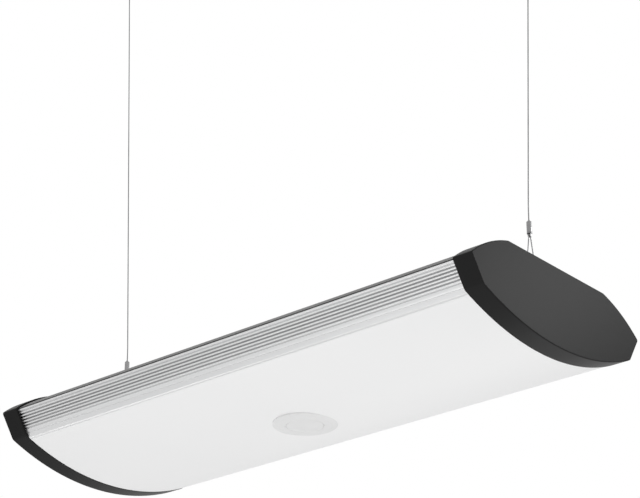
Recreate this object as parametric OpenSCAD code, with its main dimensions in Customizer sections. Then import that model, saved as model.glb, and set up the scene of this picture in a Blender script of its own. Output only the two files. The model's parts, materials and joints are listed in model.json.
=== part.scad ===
// Hanging shop light: a ribbed aluminium body with a bowed frosted lens and two moulded end caps,
// hung from two ceiling anchors on thin steel cables. Each cable runs into a self-locking gripper,
// and a wire hook below the gripper holds the lamp by two slots in its top cover.
// Millimetres, +X along the lamp, +Z up. The origin is midway between the two anchors, on the ceiling.

/* [Lamp outline] */
// Length over both end caps
lamp_len = 622; // [580:2:1240]
// Width over the widest edges of the end caps
lamp_w = 270; // [262:1:300]
// Height of the end caps, from the flat top to the lowest line of the bow
lamp_h = 81.5; // [76:0.5:94]
// Width of the flat on top
flat_w = 154.6; // [140:0.2:170]
// Depth of the widest edge below the flat top
edge_drop = 31; // [28:0.1:34]
// Width across the lower edges, where the sides meet the bow
lower_w = 236.4; // [230:0.2:244]
// Depth of the lower edges below the flat top
lower_drop = 56.6; // [54:0.1:60]
// Rise of the shoulder curves above their chords
shoulder_rise = 3.8; // [3:0.1:6]
// Rounding of the end caps' widest corners
corner_upper_r = 2.5; // [1:0.1:4]
// Rounding of the end caps' lower corners
corner_lower_r = 7; // [4:0.1:9]
// Depth of the lens's and the rail lips' face in the caps' outline
bow_inset = 0.5; // [0.2:0.05:1]

/* [End caps] */
// Length of the cap's skirt along the lamp
cap_depth = 21.5; // [18:0.1:26]
// Thickness of the cap's skirt
cap_wall = 2.4; // [2:0.1:3]
// Thickness of the cap's outer face
cap_face = 2.5; // [2:0.1:3.5]
// Clearance between the skirt and the lamp body inside it
cap_fit = 0.4; // [0.2:0.05:0.8]
// Distance of the snap clips from the middle
clip_y = 60; // [40:1:70]
// Width of a snap clip
clip_w = 10; // [6:1:14]

/* [Body shell] */
// Distance from a cap's outer face to the end of the rails
rail_setback = 8; // [7.5:0.1:9.5]
// Thickness of the rail's side wall, fins included
rail_wall = 5.3; // [5:0.1:6]
// Thickness of the rail's wall below the fins
rail_foot = 2.3; // [2:0.1:2.6]
// Number of grooves between the fins
groove_n = 7; // [6:1:8]
// Distance between grooves
groove_pitch = 3.17; // [3:0.01:3.3]
// Distance from the rail's upper corner to the first groove
groove_start = 2.5; // [2.2:0.1:3]
// Width of a groove
groove_w = 1.5; // [1.2:0.1:1.8]
// Depth of the middle grooves
groove_deep = 3; // [2.5:0.1:3.2]
// Depth of the first and last grooves
groove_shallow = 0.8; // [0.5:0.1:1.2]
// Width of the lip that carries the lens
lip_w = 2.4; // [2:0.1:4]
// Thickness of the lip
lip_t = 1.6; // [1.2:0.1:2]
// Thickness of the lens
lens_t = 2.2; // [2:0.1:2.5]
// Thickness of the lens's tongue behind the lip
tongue_t = 1.4; // [1.2:0.1:1.6]
// Reach of the tongue behind the lip
tongue_w = 1.4; // [1:0.1:1.8]
// Thickness of the sheet top cover
cover_t = 1; // [0.8:0.1:1.5]
// How much thicker the top cover is between the end caps, on its outer side
cover_rise = 0.9; // [0.5:0.1:1.2]
// Thickness of the tray that carries the boards and the driver
tray_t = 1; // [0.8:0.1:1.5]
// Depth of the tray's top below the flat top
tray_drop = 38; // [37.6:0.1:39]
// Radius of the end plates' screws
plate_screw_r = 1.5; // [1.25:0.05:1.6]

/* [Light and driver] */
// Number of board rows across the lamp
board_rows = 4; // [2:2:4]
// Distance between board rows
board_pitch = 52; // [40:1:56]
// Length of a board
board_len = 540; // [480:10:560]
// Width of a board
board_w = 18; // [14:1:24]
// Number of light emitters on a board
led_n = 18; // [8:1:24]
// Length of the driver's case
driver_len = 190; // [150:5:200]
// Width of the driver's case
driver_w = 56; // [44:1:60]
// Height of the driver's case
driver_h = 25; // [20:1:28]
// Place of the driver's middle along the lamp
driver_x = -150; // [-160:1:-140]
// Radius of the supply cord's way through the inlet bushing
inlet_r = 4.5; // [3.5:0.1:5.5]
// Place of the inlet along the lamp
inlet_x = 150; // [130:1:190]

/* [Sensor] */
// Radius of the sensor's ring, where it lies on the lens
ring_r = 33; // [29:0.5:36]
// Thickness of the ring below the lens
ring_t = 1.4; // [1.3:0.1:4]
// How far the ring's edge slopes in
ring_slope = 5.5; // [2:0.5:7]
// Radius of the sensor's domed window
dome_r = 19; // [18.5:0.1:19.4]
// Rise of the domed window
dome_rise = 3.2; // [2.5:0.1:4]
// Radius of the sensor's neck, which passes through the lens
neck_r = 20.4; // [19.8:0.1:21]
// Radius of the sensor's body, inside the neck
sensor_r = 17; // [15.5:0.1:17.2]

/* [Suspension] */
// Depth of the lamp's flat top below the ceiling
drop = 570; // [570:1:574]
// Distance from each end of the lamp to the middle between its two pairs of hook slots
hook_inset = 37.5; // [36:0.5:60]
// Distance between the two ceiling anchors
anchor_span = 600; // [560:5:640]
// Distance that the lamp's middle hangs off the middle between the cables
lamp_offset = -8.5; // [-10:0.5:-7]
// Radius of a cable
cable_r = 0.6; // [0.5:0.05:0.65]
// Radius of an anchor
anchor_r = 8; // [7.5:0.1:10]
// Radius of the hole for the ceiling screw
anchor_hole_r = 2.2; // [1.8:0.1:2.6]
// Radius of the ball on the cable's top end
ball_r = 2.5; // [2.2:0.1:2.8]
// Radius of a gripper's barrel
grip_r = 2.6; // [2.5:0.05:3.2]
// Length of a gripper's barrel
grip_len = 11.5; // [9.3:0.1:12]
// Height of the gripper's base above the flat top
grip_rise = 45; // [40:0.5:52]
// Radius of the hook's wire
hook_r = 0.6; // [0.5:0.05:0.7]
// Distance from the middle to each leg of the hook, at the cover
hook_half = 9.2; // [7:0.1:14]
// Length of the hook's feet under the cover
foot_len = 6; // [4:0.5:9]

/* [Hidden] */
$fn = 48;
fit = 0.15;          // clearance of a loose fit
thread_fit = 0.05;   // clearance of a screw in its threaded hole
eps = 0.01;

// Colours as the photograph shows them
c_alu = [0.80, 0.81, 0.82];
c_cover = [0.42, 0.43, 0.44];
c_black = [0.16, 0.16, 0.17];
c_lens = [0.93, 0.93, 0.93];
c_steel = [0.72, 0.73, 0.75];

// ---- Outline of the lamp across its length, as (y, z) with z = 0 at the flat top ----

function unit(v) = v / norm(v);
function left_of(v) = [-v[1], v[0]];
function flip_y(pts) = [for (i = [len(pts) - 1:-1:0]) [-pts[i][0], pts[i][1]]];
function arc(c, r, a0, a1, n) = [for (i = [0:n]) let (a = a0 + (a1 - a0) * i / n) c + r * [cos(a), sin(a)]];
function angle_of(v) = atan2(v[1], v[0]);

flat_corner = [flat_w / 2, 0];
wide_corner = [lamp_w / 2, -edge_drop];
low_corner = [lower_w / 2, -lower_drop];
side_dir = unit(low_corner - wide_corner);
side_out = left_of(side_dir);

// The bow is one arc through the lower edges and the lowest line
bow_rise = lamp_h - lower_drop;
bow_r = (lower_w * lower_w / 4 + bow_rise * bow_rise) / (2 * bow_rise);
bow_c = [0, bow_r - lamp_h];

// Each shoulder is an arc from the flat to the widest edge
shoulder_chord = norm(wide_corner - flat_corner);
shoulder_r = (shoulder_chord * shoulder_chord / 4 + shoulder_rise * shoulder_rise) / (2 * shoulder_rise);
shoulder_c = (flat_corner + wide_corner) / 2
    - left_of(unit(wide_corner - flat_corner)) * (shoulder_r - shoulder_rise);

// Where the side, moved in by d, meets a circle: way is -1 for its upper end and 1 for its lower end
function side_hit(c, r, way, d) =
    let (h = wide_corner * side_out - d - c * side_out)
    c + h * side_out + way * sqrt(r * r - h * h) * side_dir;
function upper_at(d) = side_hit(shoulder_c, shoulder_r - d, -1, d);
function lower_at(d, b) = side_hit(bow_c, bow_r - b, 1, d);
function flat_at(d) =
    [shoulder_c[0] + sqrt(pow(shoulder_r - d, 2) - pow(d + shoulder_c[1], 2)), -d];

// Half of the outline, with its top and sides moved in by d and its bow by b, from the flat to the bow;
// ru and rl round its two corners, and a radius under least_round leaves a corner sharp
least_round = 0.3;
function corner_arc(c, r, a0, a1, n) = r < least_round ? [c] : arc(c, r, a0, a1, n);
function half_outline(d, b, ru, rl) =
    let (
        u = ru < least_round ? 0 : ru,
        l = rl < least_round ? 0 : rl,
        cu = upper_at(d + u),
        cl = lower_at(d + l, b + l),
        shoulder = arc(shoulder_c, shoulder_r - d, angle_of(flat_at(d) - shoulder_c), angle_of(cu - shoulder_c), 14)
    )
    concat([for (i = [0:13]) shoulder[i]],
        corner_arc(cu, u, angle_of(cu - shoulder_c), angle_of(side_out), 6),
        corner_arc(cl, l, angle_of(side_out), angle_of(cl - bow_c), 5));
half_turn = 180;
function bow_at(b, start) =
    let (a = angle_of(start - bow_c), whole = arc(bow_c, bow_r - b, a, -half_turn - a, 48))
    [for (i = [1:47]) whole[i]];
function outline_at(d, b, ru, rl) =
    let (half = half_outline(d, b, ru, rl))
    concat(half, bow_at(b, half[len(half) - 1]), flip_y(half));

// The outline of the caps, moved in by d all round, and that of the body between them
module outline(d) polygon(outline_at(d, d, corner_upper_r - d, corner_lower_r - d));
module body_outline(d) polygon(outline_at(d, d - skin + bow_inset, 0, 1));
module along_x(x0, x1) translate([x0, 0, 0]) rotate([90, 0, 90]) linear_extrude(x1 - x0) children();
module at_lamp() translate([lamp_offset, 0, -drop]) children();
module bow_ring(r0, r1) translate(bow_c) difference() {
    circle(r1, $fn = 360);
    circle(r0, $fn = 360);
}
module box(lo, hi) translate(lo) cube(hi - lo);
module screw(r, head_r, head_h, length) {
    translate([0, 0, -length]) cylinder(r = r, h = length + eps);
    difference() {
        cylinder(r = head_r, h = head_h);
        translate([-head_r, -0.4, head_h * 0.55]) cube([2 * head_r, 0.8, head_h]);
        translate([-0.4, -head_r, head_h * 0.55]) cube([0.8, 2 * head_r, head_h]);
    }
}

// ---- Sweeps for cables and wires ----

// A tube of straight sides along pts; side is a direction that no stretch runs along
function tube_ring(p, t, r, n, side) =
    let (u = unit(cross(t, side)), v = cross(t, u))
    [for (k = [0:n - 1]) p + r * (cos(360 * k / n) * u + sin(360 * k / n) * v)];
module tube(pts, r, n, side) {
    m = len(pts);
    rings = [for (i = [0:m - 1])
        tube_ring(pts[i], unit(pts[min(i + 1, m - 1)] - pts[max(i - 1, 0)]), r, n, side)];
    walls = [for (i = [0:m - 2]) for (k = [0:n - 1]) let (a = i * n + k, b = i * n + (k + 1) % n)
        each [[a, b + n, b], [a, a + n, b + n]]];
    first = [for (k = [0:n - 1]) k];
    last = [for (k = [n - 1:-1:0]) (m - 1) * n + k];
    polyhedron([for (q = rings) each q], concat(walls, [first, last]));
}
// Smooth points through the given ones, n to each stretch
function spline(p, n) = let (m = len(p)) concat([for (i = [0:m - 2]) each
    let (a = p[max(i - 1, 0)], b = p[i], c = p[i + 1], d = p[min(i + 2, m - 1)])
    [for (k = [0:n - 1]) let (t = k / n)
        0.5 * (2 * b + (c - a) * t + (2 * a - 5 * b + 4 * c - d) * t * t + (3 * b - a - 3 * c + d) * t * t * t)]],
    [p[m - 1]]);

// ---- Places that several parts share ----

skin = cap_wall + cap_fit;             // the body's outer surface, in from the caps' surface
lamp_half = lamp_len / 2;
rail_half = lamp_half - rail_setback;
skirt_x = lamp_half - cap_depth;       // the rims of the caps' skirts
body_upper = upper_at(skin);
body_lower = lower_at(skin, bow_inset);
side_len = norm(body_lower - body_upper);
side_angle = angle_of(side_dir);
body_bow_r = bow_r - bow_inset;
lens_low = bow_c[1] - body_bow_r;      // lowest line of the lens's outer face
lip_y = body_lower[0] - lip_w;
cover_under = -skin - cover_t;
cover_over = -skin + cover_rise;       // the cover's top between the caps
cover_edge_z = body_upper[1] + 1.5;
tray_under = -tray_drop - tray_t;
// Half-width inside the body at height z, for a wall of thickness w
function inside_y(z, w) = body_upper[0] + (z - body_upper[1]) * side_dir[0] / side_dir[1] - w / side_out[0];
tray_half_w = inside_y(tray_under, rail_wall) - 2;
ledge_y = tray_half_w - 10;
ledge_t = 2;
port_r = plate_screw_r + 1.5;
port_depth = rail_wall + port_r - 1.4;
port_places = [6, 18.5];               // along the side, from the upper corner
butt_gap = 0.2;                        // between the caps' rims and what ends at them
finger_r = body_bow_r - lip_t - tongue_t - 2 * fit;

// ---- Body shell ----

// The side's own frame: x runs down the side from the upper corner, and -y points into the lamp
module side_frame() translate(body_upper) rotate(side_angle) children();
module cover_seat(gap) intersection() {
    difference() {
        body_outline(skin - 1);
        body_outline(skin + cover_t + gap);
    }
    translate([-lamp_w / 2, cover_edge_z - gap]) square([lamp_w, lamp_h]);
}
function groove_depth(i) =
    let (k = min(i, groove_n - 1 - i))
    k == 0 ? groove_shallow : k == 1 ? (groove_shallow + groove_deep) / 2 : groove_deep;
module rail_section() difference() {
    intersection() {
        body_outline(skin);
        union() {
            // Side wall, thinner below the fins
            side_frame() {
                translate([-6, -rail_wall])
                    square([groove_start + (groove_n - 1.5) * groove_pitch + 6, rail_wall + 1]);
                translate([0, -rail_foot]) square([side_len + 8, rail_foot + 1]);
                for (s = port_places) translate([s, -port_depth]) circle(port_r);
            }
            // Shelf under the top cover's edge
            intersection() {
                difference() {
                    body_outline(skin + cover_t + thread_fit);
                    body_outline(skin + cover_t + 2);
                }
                translate([body_upper[0] - 16, body_upper[1] - 4]) square([20, 20]);
            }
            // Ledge under the tray
            translate([ledge_y, tray_under - ledge_t])
                square([inside_y(tray_under - ledge_t, rail_wall) + 1 - ledge_y, ledge_t]);
            // Lip and finger that hold the lens's tongue
            intersection() {
                union() {
                    bow_ring(body_bow_r - lip_t, body_bow_r + 1);
                    bow_ring(finger_r - 1.6, finger_r);
                }
                translate([lip_y, -lamp_h]) square([lip_w + 2, lamp_h - lower_drop + 12]);
            }
        }
    }
    cover_seat(thread_fit);
    // Room for the lens's edge, and the channel for its tongue, let a little into the wall
    intersection() {
        bow_ring(finger_r, body_bow_r + 1);
        translate([lip_y - 6, -lamp_h]) square([6, lamp_h - edge_drop]);
    }
    intersection() {
        bow_ring(finger_r, body_bow_r - lip_t);
        translate([lip_y - 1, -lamp_h]) square([1 + tongue_w + 2 * fit, lamp_h - edge_drop]);
    }
    side_frame() {
        for (i = [0:groove_n - 1])
            translate([groove_start + i * groove_pitch - groove_w / 2, -groove_depth(i)])
                square([groove_w, groove_depth(i) + 1]);
        for (s = port_places) translate([s, -port_depth]) circle(plate_screw_r + thread_fit);
    }
}
tray_screw_x = [-240, 0, 240];
tray_screw_y = ledge_y + 4;
module rail() difference() {
    union() {
        along_x(-skirt_x + butt_gap, skirt_x - butt_gap) rail_section();
        // Inside the caps' skirts
        along_x(-rail_half, rail_half) intersection() {
            rail_section();
            outline(skin);
        }
    }
    for (x = tray_screw_x) translate([x, tray_screw_y, tray_under - ledge_t - 1]) cylinder(r = 1.5, h = ledge_t + 2);
}
module rail_far() color(c_alu) at_lamp() rail();
module rail_near() color(c_alu) at_lamp() mirror([0, 1, 0]) rail();

// Hook slots: an outer and an inner pair at each end, alike on both sides
cable_span = lamp_len - 2 * hook_inset;
slot_x = [cable_span / 2 - lamp_offset, cable_span / 2 + lamp_offset];
slot_len = 9;
slot_wide = 4;
inlet_hole_r = inlet_r + 3;
module cover_section(d) intersection() {
    difference() {
        body_outline(d);
        body_outline(skin + cover_t);
    }
    translate([-lamp_w / 2, cover_edge_z]) square([lamp_w, lamp_h]);
}
module top_cover() color(c_cover) at_lamp() difference() {
    union() {
        along_x(-rail_half, rail_half) cover_section(skin);
        along_x(-skirt_x + butt_gap, skirt_x - butt_gap) cover_section(skin - cover_rise);
    }
    for (x = slot_x) for (s = [-1, 1]) for (t = [-1, 1])
        translate([s * x - slot_len / 2, t * hook_half - slot_wide / 2, cover_under - 1])
            cube([slot_len, slot_wide, cover_t + cover_rise + 2]);
    translate([inlet_x, 0, cover_under - 1]) cylinder(r = inlet_hole_r, h = cover_t + cover_rise + 2);
}

// ---- Tray, boards and driver ----

lead_hole_r = 4;
driver_ear = 10;
board_lead_x = -board_len / 2 + 14;
board_ys = [for (i = [0:board_rows - 1]) (i - (board_rows - 1) / 2) * board_pitch];
last_edge = board_ys[board_rows - 1] - board_w / 2;
// The way down through the tray, beside the driver's end; its leads go on to the outer board
output_hole = [driver_x - driver_len / 2 - driver_ear - 5.5, last_edge - 29];
output_end_x = board_lead_x - 4.5;
board_t = 1.6;
board_top = tray_under;
board_under = board_top - board_t;
led_pitch = (board_len - 40) / led_n;
// The middle screws stand between two light emitters
board_screw_x = [-board_len / 2 + 6, (led_n % 2) * led_pitch / 2, board_len / 2 - 6];
board_screw_r = 1.4;
tray_half = rail_half - 1;
ground_gap = 60;                       // from the inlet to the earth screw
ground_x = inlet_x + ground_gap;
module tray() color("white") at_lamp() difference() {
    box([-tray_half, -tray_half_w, tray_under], [tray_half, tray_half_w, -tray_drop]);
    for (x = tray_screw_x) for (s = [-1, 1])
        translate([x, s * tray_screw_y, tray_under - 1]) cylinder(r = 1.7, h = tray_t + 2);
    for (x = board_screw_x) for (y = board_ys)
        translate([x, y, tray_under - 1]) cylinder(r = board_screw_r + thread_fit, h = tray_t + 2);
    for (x = driver_ear_x) translate([x, 0, tray_under - 1]) cylinder(r = 1.5 + thread_fit, h = tray_t + 2);
    translate([0, 0, tray_under - 1]) cylinder(r = lead_hole_r, h = tray_t + 2);
    translate([output_hole[0], output_hole[1], tray_under - 1]) cylinder(r = lead_hole_r, h = tray_t + 2);
    translate([ground_x, 0, tray_under - 1]) cylinder(r = 1.5 + thread_fit, h = tray_t + 2);
}
module tray_screws() color(c_steel) at_lamp()
    for (x = tray_screw_x) for (s = [-1, 1])
        translate([x, s * tray_screw_y, -tray_drop]) screw(1.5 - thread_fit, 2.9, 1.8, tray_t + ledge_t + 0.8);
module led_boards() color([0.9, 0.9, 0.88]) at_lamp() for (y = board_ys) difference() {
    box([-board_len / 2, y - board_w / 2, board_under], [board_len / 2, y + board_w / 2, board_top]);
    for (x = board_screw_x) translate([x, y, board_under - 1]) cylinder(r = 1.6, h = board_t + 2);
}
led_w = 5;
led_h = 1.2;
module leds() color([0.95, 0.9, 0.6]) at_lamp() for (y = board_ys) for (i = [0:led_n - 1])
    translate([(i - (led_n - 1) / 2) * led_pitch - led_w / 2, y - led_w / 2, board_under - led_h])
        cube([led_w, led_w, led_h]);
module board_screws() color(c_steel) at_lamp()
    for (x = board_screw_x) for (y = board_ys)
        translate([x, y, board_under]) mirror([0, 0, 1]) screw(board_screw_r, 2.4, 1.6, board_t + tray_t + 0.8);
// Short bridges between neighbouring boards
module board_leads() color("red") at_lamp()
    for (i = [0:board_rows - 2]) for (e = [0, 3.5]) {
        x = board_lead_x + e;
        y0 = board_ys[i] + board_w / 2 - 2;
        y1 = board_ys[i + 1] - board_w / 2 + 2;
        z = board_under - 0.7;
        tube(spline([[x, y0, z], [x, y0 + 4, z - 0.6], [x, (y0 + y1) / 2, z - 2.5],
            [x, y1 - 4, z - 0.6], [x, y1, z]], 4), 0.6, 6, [1, 0, 0]);
    }

driver_wall = 1.2;
driver_floor = -tray_drop;
driver_top = driver_floor + driver_wall + driver_h;
driver_ear_x = [driver_x - driver_len / 2 - driver_ear / 2, driver_x + driver_len / 2 + driver_ear / 2];
lead_y = [-7, 0, 7];
capacitor_x = [30, 46];
way_r = 1.5;                           // ways for the leads
sensor_lead_y = -16;
module driver_base() color(c_steel) at_lamp() difference() {
    box([driver_ear_x[0] - driver_ear / 2, -driver_w / 2, driver_floor],
        [driver_ear_x[1] + driver_ear / 2, driver_w / 2, driver_floor + driver_wall]);
    for (x = driver_ear_x) translate([x, 0, driver_floor - 1]) cylinder(r = 1.7, h = driver_wall + 2);
}
module driver_case() color("white") at_lamp() difference() {
    box([driver_x - driver_len / 2, -driver_w / 2, driver_floor + driver_wall],
        [driver_x + driver_len / 2, driver_w / 2, driver_top]);
    box([driver_x - driver_len / 2 + driver_wall, -driver_w / 2 + driver_wall, driver_floor + driver_wall - 1],
        [driver_x + driver_len / 2 - driver_wall, driver_w / 2 - driver_wall, driver_top - driver_wall]);
    // Ways for the leads at both ends, and for the sensor's lead
    for (y = lead_y) translate([driver_x - driver_len / 2 - 1, y, lead_z]) rotate([0, 90, 0])
        cylinder(r = way_r, h = driver_len + 2);
    translate([driver_x + driver_len / 2 - 4, sensor_lead_y, lead_z]) rotate([0, 90, 0]) cylinder(r = 1.6, h = 6);
}
pcb_t = 1.6;
pcb_z = driver_floor + driver_wall + 3;
lead_z = pcb_z + pcb_t + 3;
module driver_board() color("darkgreen") at_lamp() translate([driver_x, 0, 0]) {
    l = driver_len / 2 - 8;
    w = driver_w / 2 - 4;
    high = driver_h - 10;
    box([-l, -w, pcb_z], [l, w, pcb_z + pcb_t]);
    // Feet, transformer, coil and capacitors
    for (x = [-l + 4, l - 4]) for (y = [-w + 4, w - 4]) translate([x, y, driver_floor + driver_wall])
        cylinder(r = 2, h = 3 + eps);
    box([-14, -13, pcb_z + pcb_t - eps], [14, 13, pcb_z + pcb_t + high]);
    box([-l + 22, 4, pcb_z + pcb_t - eps], [-l + 38, w - 2, pcb_z + pcb_t + high - 4]);
    for (x = capacitor_x) translate([x, -6, pcb_z + pcb_t - eps]) cylinder(r = 6, h = high - 2);
}
module driver_screws() color(c_steel) at_lamp() for (x = driver_ear_x)
    translate([x, 0, driver_floor + driver_wall]) screw(1.5, 2.8, 1.8, driver_wall + tray_t + 1);

block_gap = 40;                        // from the inlet to the terminal block
block_x = inlet_x - block_gap;
block_len = 22;
block_h = 13;
module terminal_block() color([0.85, 0.85, 0.8]) at_lamp() difference() {
    box([block_x - block_len / 2, -12, driver_floor], [block_x + block_len / 2, 12, driver_floor + block_h]);
    for (y = lead_y) {
        translate([block_x - block_len / 2 - 1, y, lead_z]) rotate([0, 90, 0]) cylinder(r = way_r, h = 8);
        translate([block_x + block_len / 2 - 7, y, lead_z]) rotate([0, 90, 0]) cylinder(r = way_r, h = 8);
        translate([block_x, y, driver_floor + block_h - 4]) cylinder(r = 2, h = 5);
    }
}
module ground_screw() color([0.2, 0.6, 0.3]) at_lamp()
    translate([ground_x, 0, driver_floor]) screw(1.5, 3.4, 2, tray_t + 1.5);
// Snap bushing that guides the supply cord through the top cover
bushing_up = 2;
bushing_down = 7;
module inlet_bushing() color(c_black) at_lamp() translate([inlet_x, 0, cover_over]) difference() {
    union() {
        cylinder(r = inlet_hole_r + 2.5, h = bushing_up);
        translate([0, 0, -bushing_down]) cylinder(r = inlet_hole_r - fit, h = bushing_down + eps);
        // Ridge that snaps under the sheet
        translate([0, 0, -cover_t - cover_rise - fit - 1.5])
            cylinder(r1 = inlet_hole_r - fit, r2 = inlet_hole_r + 0.7, h = 1.5);
    }
    translate([0, 0, -bushing_down - 1]) cylinder(r = inlet_r, h = bushing_down + bushing_up + 2);
}
// The leads run straight through the ways at their ends and pass beside the sensor's lead
lead_in = 5;
lead_out = 6;
module input_leads() color("dimgray") at_lamp() for (y = lead_y) {
    x0 = driver_x + driver_len / 2;
    x1 = block_x - block_len / 2;
    reach = (x1 - x0) * 0.35;
    aside = y * 1.4 + driver_w * 0.3;
    high = lead_z + 2;
    tube(concat([[x0 - lead_in, y, lead_z]], spline([[x0 + lead_out, y, lead_z], [x0 + reach * 0.4, y, lead_z],
        [x0 + reach, aside, high], [(x0 + x1) / 2, aside + 2, high], [x1 - reach, aside, high],
        [x1 - reach * 0.4, y, lead_z], [x1 - lead_out, y, lead_z]], 5), [[x1 + lead_in, y, lead_z]]),
        0.9, 6, [0, 0, 1]);
}
module output_leads() color("red") at_lamp() for (e = [0, 1]) {
    x0 = driver_x - driver_len / 2;
    y = lead_y[e * 2];
    hx = output_hole[0] + (e * 2 - 1) * 1.5;
    hy = output_hole[1];
    tube(concat([[x0 + lead_in, y, lead_z]], spline([[x0 - lead_out, y, lead_z], [x0 - 2 * lead_out, y, lead_z],
        [hx, hy - (hy - y) * 0.4, lead_z + 1], [hx, hy, -tray_drop + 4], [hx, hy, tray_under - 4],
        [hx, hy + 8, board_under - 4],
        [output_end_x + (e * 2 - 1) * 1.5, last_edge + 1, board_under - 0.7]], 5)), 0.6, 6, [1, 1, 1]);
}

// ---- Lens ----

lens_half = skirt_x - butt_gap;
module lens_section() {
    intersection() {
        bow_ring(body_bow_r - lens_t, body_bow_r);
        translate([-lip_y + fit, -lamp_h]) square([2 * (lip_y - fit), lamp_h - edge_drop]);
    }
    // Tongues behind the rails' lips
    for (s = [0, 1]) mirror([s, 0]) intersection() {
        bow_ring(body_bow_r - lip_t - fit - tongue_t, body_bow_r - lip_t - fit);
        translate([lip_y - 4, -lamp_h]) square([4 + tongue_w, lamp_h - edge_drop]);
    }
}
module lens() color(c_lens) at_lamp() difference() {
    along_x(-lens_half, lens_half) lens_section();
    translate([0, 0, lens_low - 5]) cylinder(r = neck_r + 0.4, h = 20);
}

// ---- End caps, plates and gaskets; made for the +X end and mirrored ----

plate_inset = skin + 0.4;
gasket_t = 1;
plate_t = 1.5;
plate_x = rail_half + gasket_t;
plate_screw_len = 12;
clip_z = -20;
clip_t = 2;
clip_barb = 1.2;
module ports() for (m = [0, 1]) mirror([m, 0]) side_frame()
    for (s = port_places) translate([s, -port_depth]) children();
module end_cap() {
    difference() {
        along_x(lamp_half - cap_depth, lamp_half) outline(0);
        along_x(lamp_half - cap_depth - 1, lamp_half - cap_face) outline(cap_wall);
    }
    for (s = [-1, 1]) translate([0, s * clip_y, clip_z]) {
        box([rail_half - 3, -clip_w / 2, 0], [lamp_half - cap_face + 0.5, clip_w / 2, clip_t]);
        // Barb behind the end plate
        translate([0, clip_w / 2, 0]) rotate([90, 0, 0]) linear_extrude(clip_w)
            polygon([[rail_half - 3, 0.1], [rail_half - 3, 0], [plate_x - fit, -clip_barb], [plate_x - fit, 0.1]]);
    }
}
module end_plate() difference() {
    along_x(plate_x, plate_x + plate_t) outline(plate_inset);
    along_x(plate_x - 1, plate_x + plate_t + 1) ports() circle(plate_screw_r + 0.3);
    for (s = [-1, 1])
        box([plate_x - 1, s * clip_y - clip_w / 2 - fit, clip_z - fit],
            [plate_x + plate_t + 1, s * clip_y + clip_w / 2 + fit, clip_z + clip_t + clip_barb + fit]);
}
module gasket() difference() {
    along_x(rail_half, plate_x) difference() {
        outline(plate_inset);
        outline(plate_inset + 11);
    }
    along_x(rail_half - 1, plate_x + 1) ports() circle(plate_screw_r + 0.4);
}
module plate_screws() for (m = [0, 1]) mirror([0, m, 0]) for (s = port_places)
    translate([plate_x + plate_t, 0, 0]) at_port(s) rotate([0, 90, 0]) screw(plate_screw_r, 2.9, 1.8, plate_screw_len);
module at_port(s)
    let (p = body_upper + s * side_dir - port_depth * side_out) translate([0, p[0], p[1]]) children();
module end_cap_right() color(c_black) at_lamp() end_cap();
module end_cap_left() color(c_black) at_lamp() mirror([1, 0, 0]) end_cap();
module end_plate_right() color(c_steel) at_lamp() end_plate();
module end_plate_left() color(c_steel) at_lamp() mirror([1, 0, 0]) end_plate();
module gasket_right() color("gray") at_lamp() gasket();
module gasket_left() color("gray") at_lamp() mirror([1, 0, 0]) gasket();
module plate_screws_right() color(c_steel) at_lamp() plate_screws();
module plate_screws_left() color(c_steel) at_lamp() mirror([1, 0, 0]) plate_screws();

// ---- Sensor in the middle of the lens ----

ring_low = lens_low - ring_t;
neck_rise = 9.7;
sensor_rise = 21;
step_rise = 11.7;
neck_top = lens_low + neck_rise;
nut_low = lens_low + lens_t + 1.3;
nut_r = 26;
sensor_top = lens_low + sensor_rise;
sensor_low = lens_low + 1;
sensor_step = lens_low + step_rise;
dome_seat = 1;
dome_wall = 1;
module sensor_bezel() color(c_lens) at_lamp() difference() {
    union() {
        // Flange, shaped to the lens's outer face
        difference() {
            union() {
                translate([0, 0, ring_low]) cylinder(r1 = ring_r - ring_slope, r2 = ring_r, h = ring_t, $fn = 96);
                translate([0, 0, lens_low - eps]) cylinder(r = ring_r, h = 4, $fn = 96);
            }
            translate([-ring_r - 1, 0, bow_c[1]]) rotate([0, 90, 0])
                cylinder(r = body_bow_r + 0.05, h = 2 * ring_r + 2, $fn = 360);
        }
        translate([0, 0, ring_low]) cylinder(r = neck_r, h = neck_top - ring_low);
    }
    translate([0, 0, ring_low - 1]) cylinder(r = dome_r + fit, h = dome_seat + 1);
    translate([0, 0, ring_low]) cylinder(r = sensor_r + 0.1, h = neck_top - ring_low + 1);
}
// The dome's outer arc falls from the rim to the lowest point
function dome_arc(rim, rise, n) =
    let (r = (rim * rim + rise * rise) / (2 * rise))
    [for (i = [0:n]) let (x = rim * (1 - i / n)) [x, -(sqrt(r * r - x * x) - (r - rise))]];
module sensor_dome() color(c_lens) at_lamp() translate([0, 0, ring_low]) rotate_extrude($fn = 96)
    polygon(concat([[dome_r, dome_seat - thread_fit]], dome_arc(dome_r, dome_rise, 16),
        [for (p = dome_arc(dome_r - 2.5, dome_rise - dome_wall, 16))
            [dome_r - 2.5 - p[0], -(dome_rise - dome_wall) - p[1]]],
        [[dome_r - 2.5, dome_seat - thread_fit]]));
module sensor_nut() color("whitesmoke") at_lamp() translate([0, 0, nut_low]) difference() {
    cylinder(r = nut_r, h = 4);
    translate([0, 0, -1]) cylinder(r = neck_r + thread_fit, h = 6);
    for (a = [0:45:315]) rotate(a) translate([nut_r, 0, -1]) cylinder(r = 2.4, h = 6);
}
module sensor_body() color("whitesmoke") at_lamp() difference() {
    translate([0, 0, sensor_low]) cylinder(r = sensor_r, h = sensor_top - sensor_low);
    translate([0, 0, sensor_low - 1]) cylinder(r = sensor_r - 1.5, h = sensor_step - sensor_low + 1);
    translate([0, 0, sensor_low - 1]) cylinder(r = sensor_r - 3, h = sensor_top - 1.5 - sensor_low + 1);
    translate([0, 0, sensor_top - 3]) cylinder(r = 1.4, h = 6);
}
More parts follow.
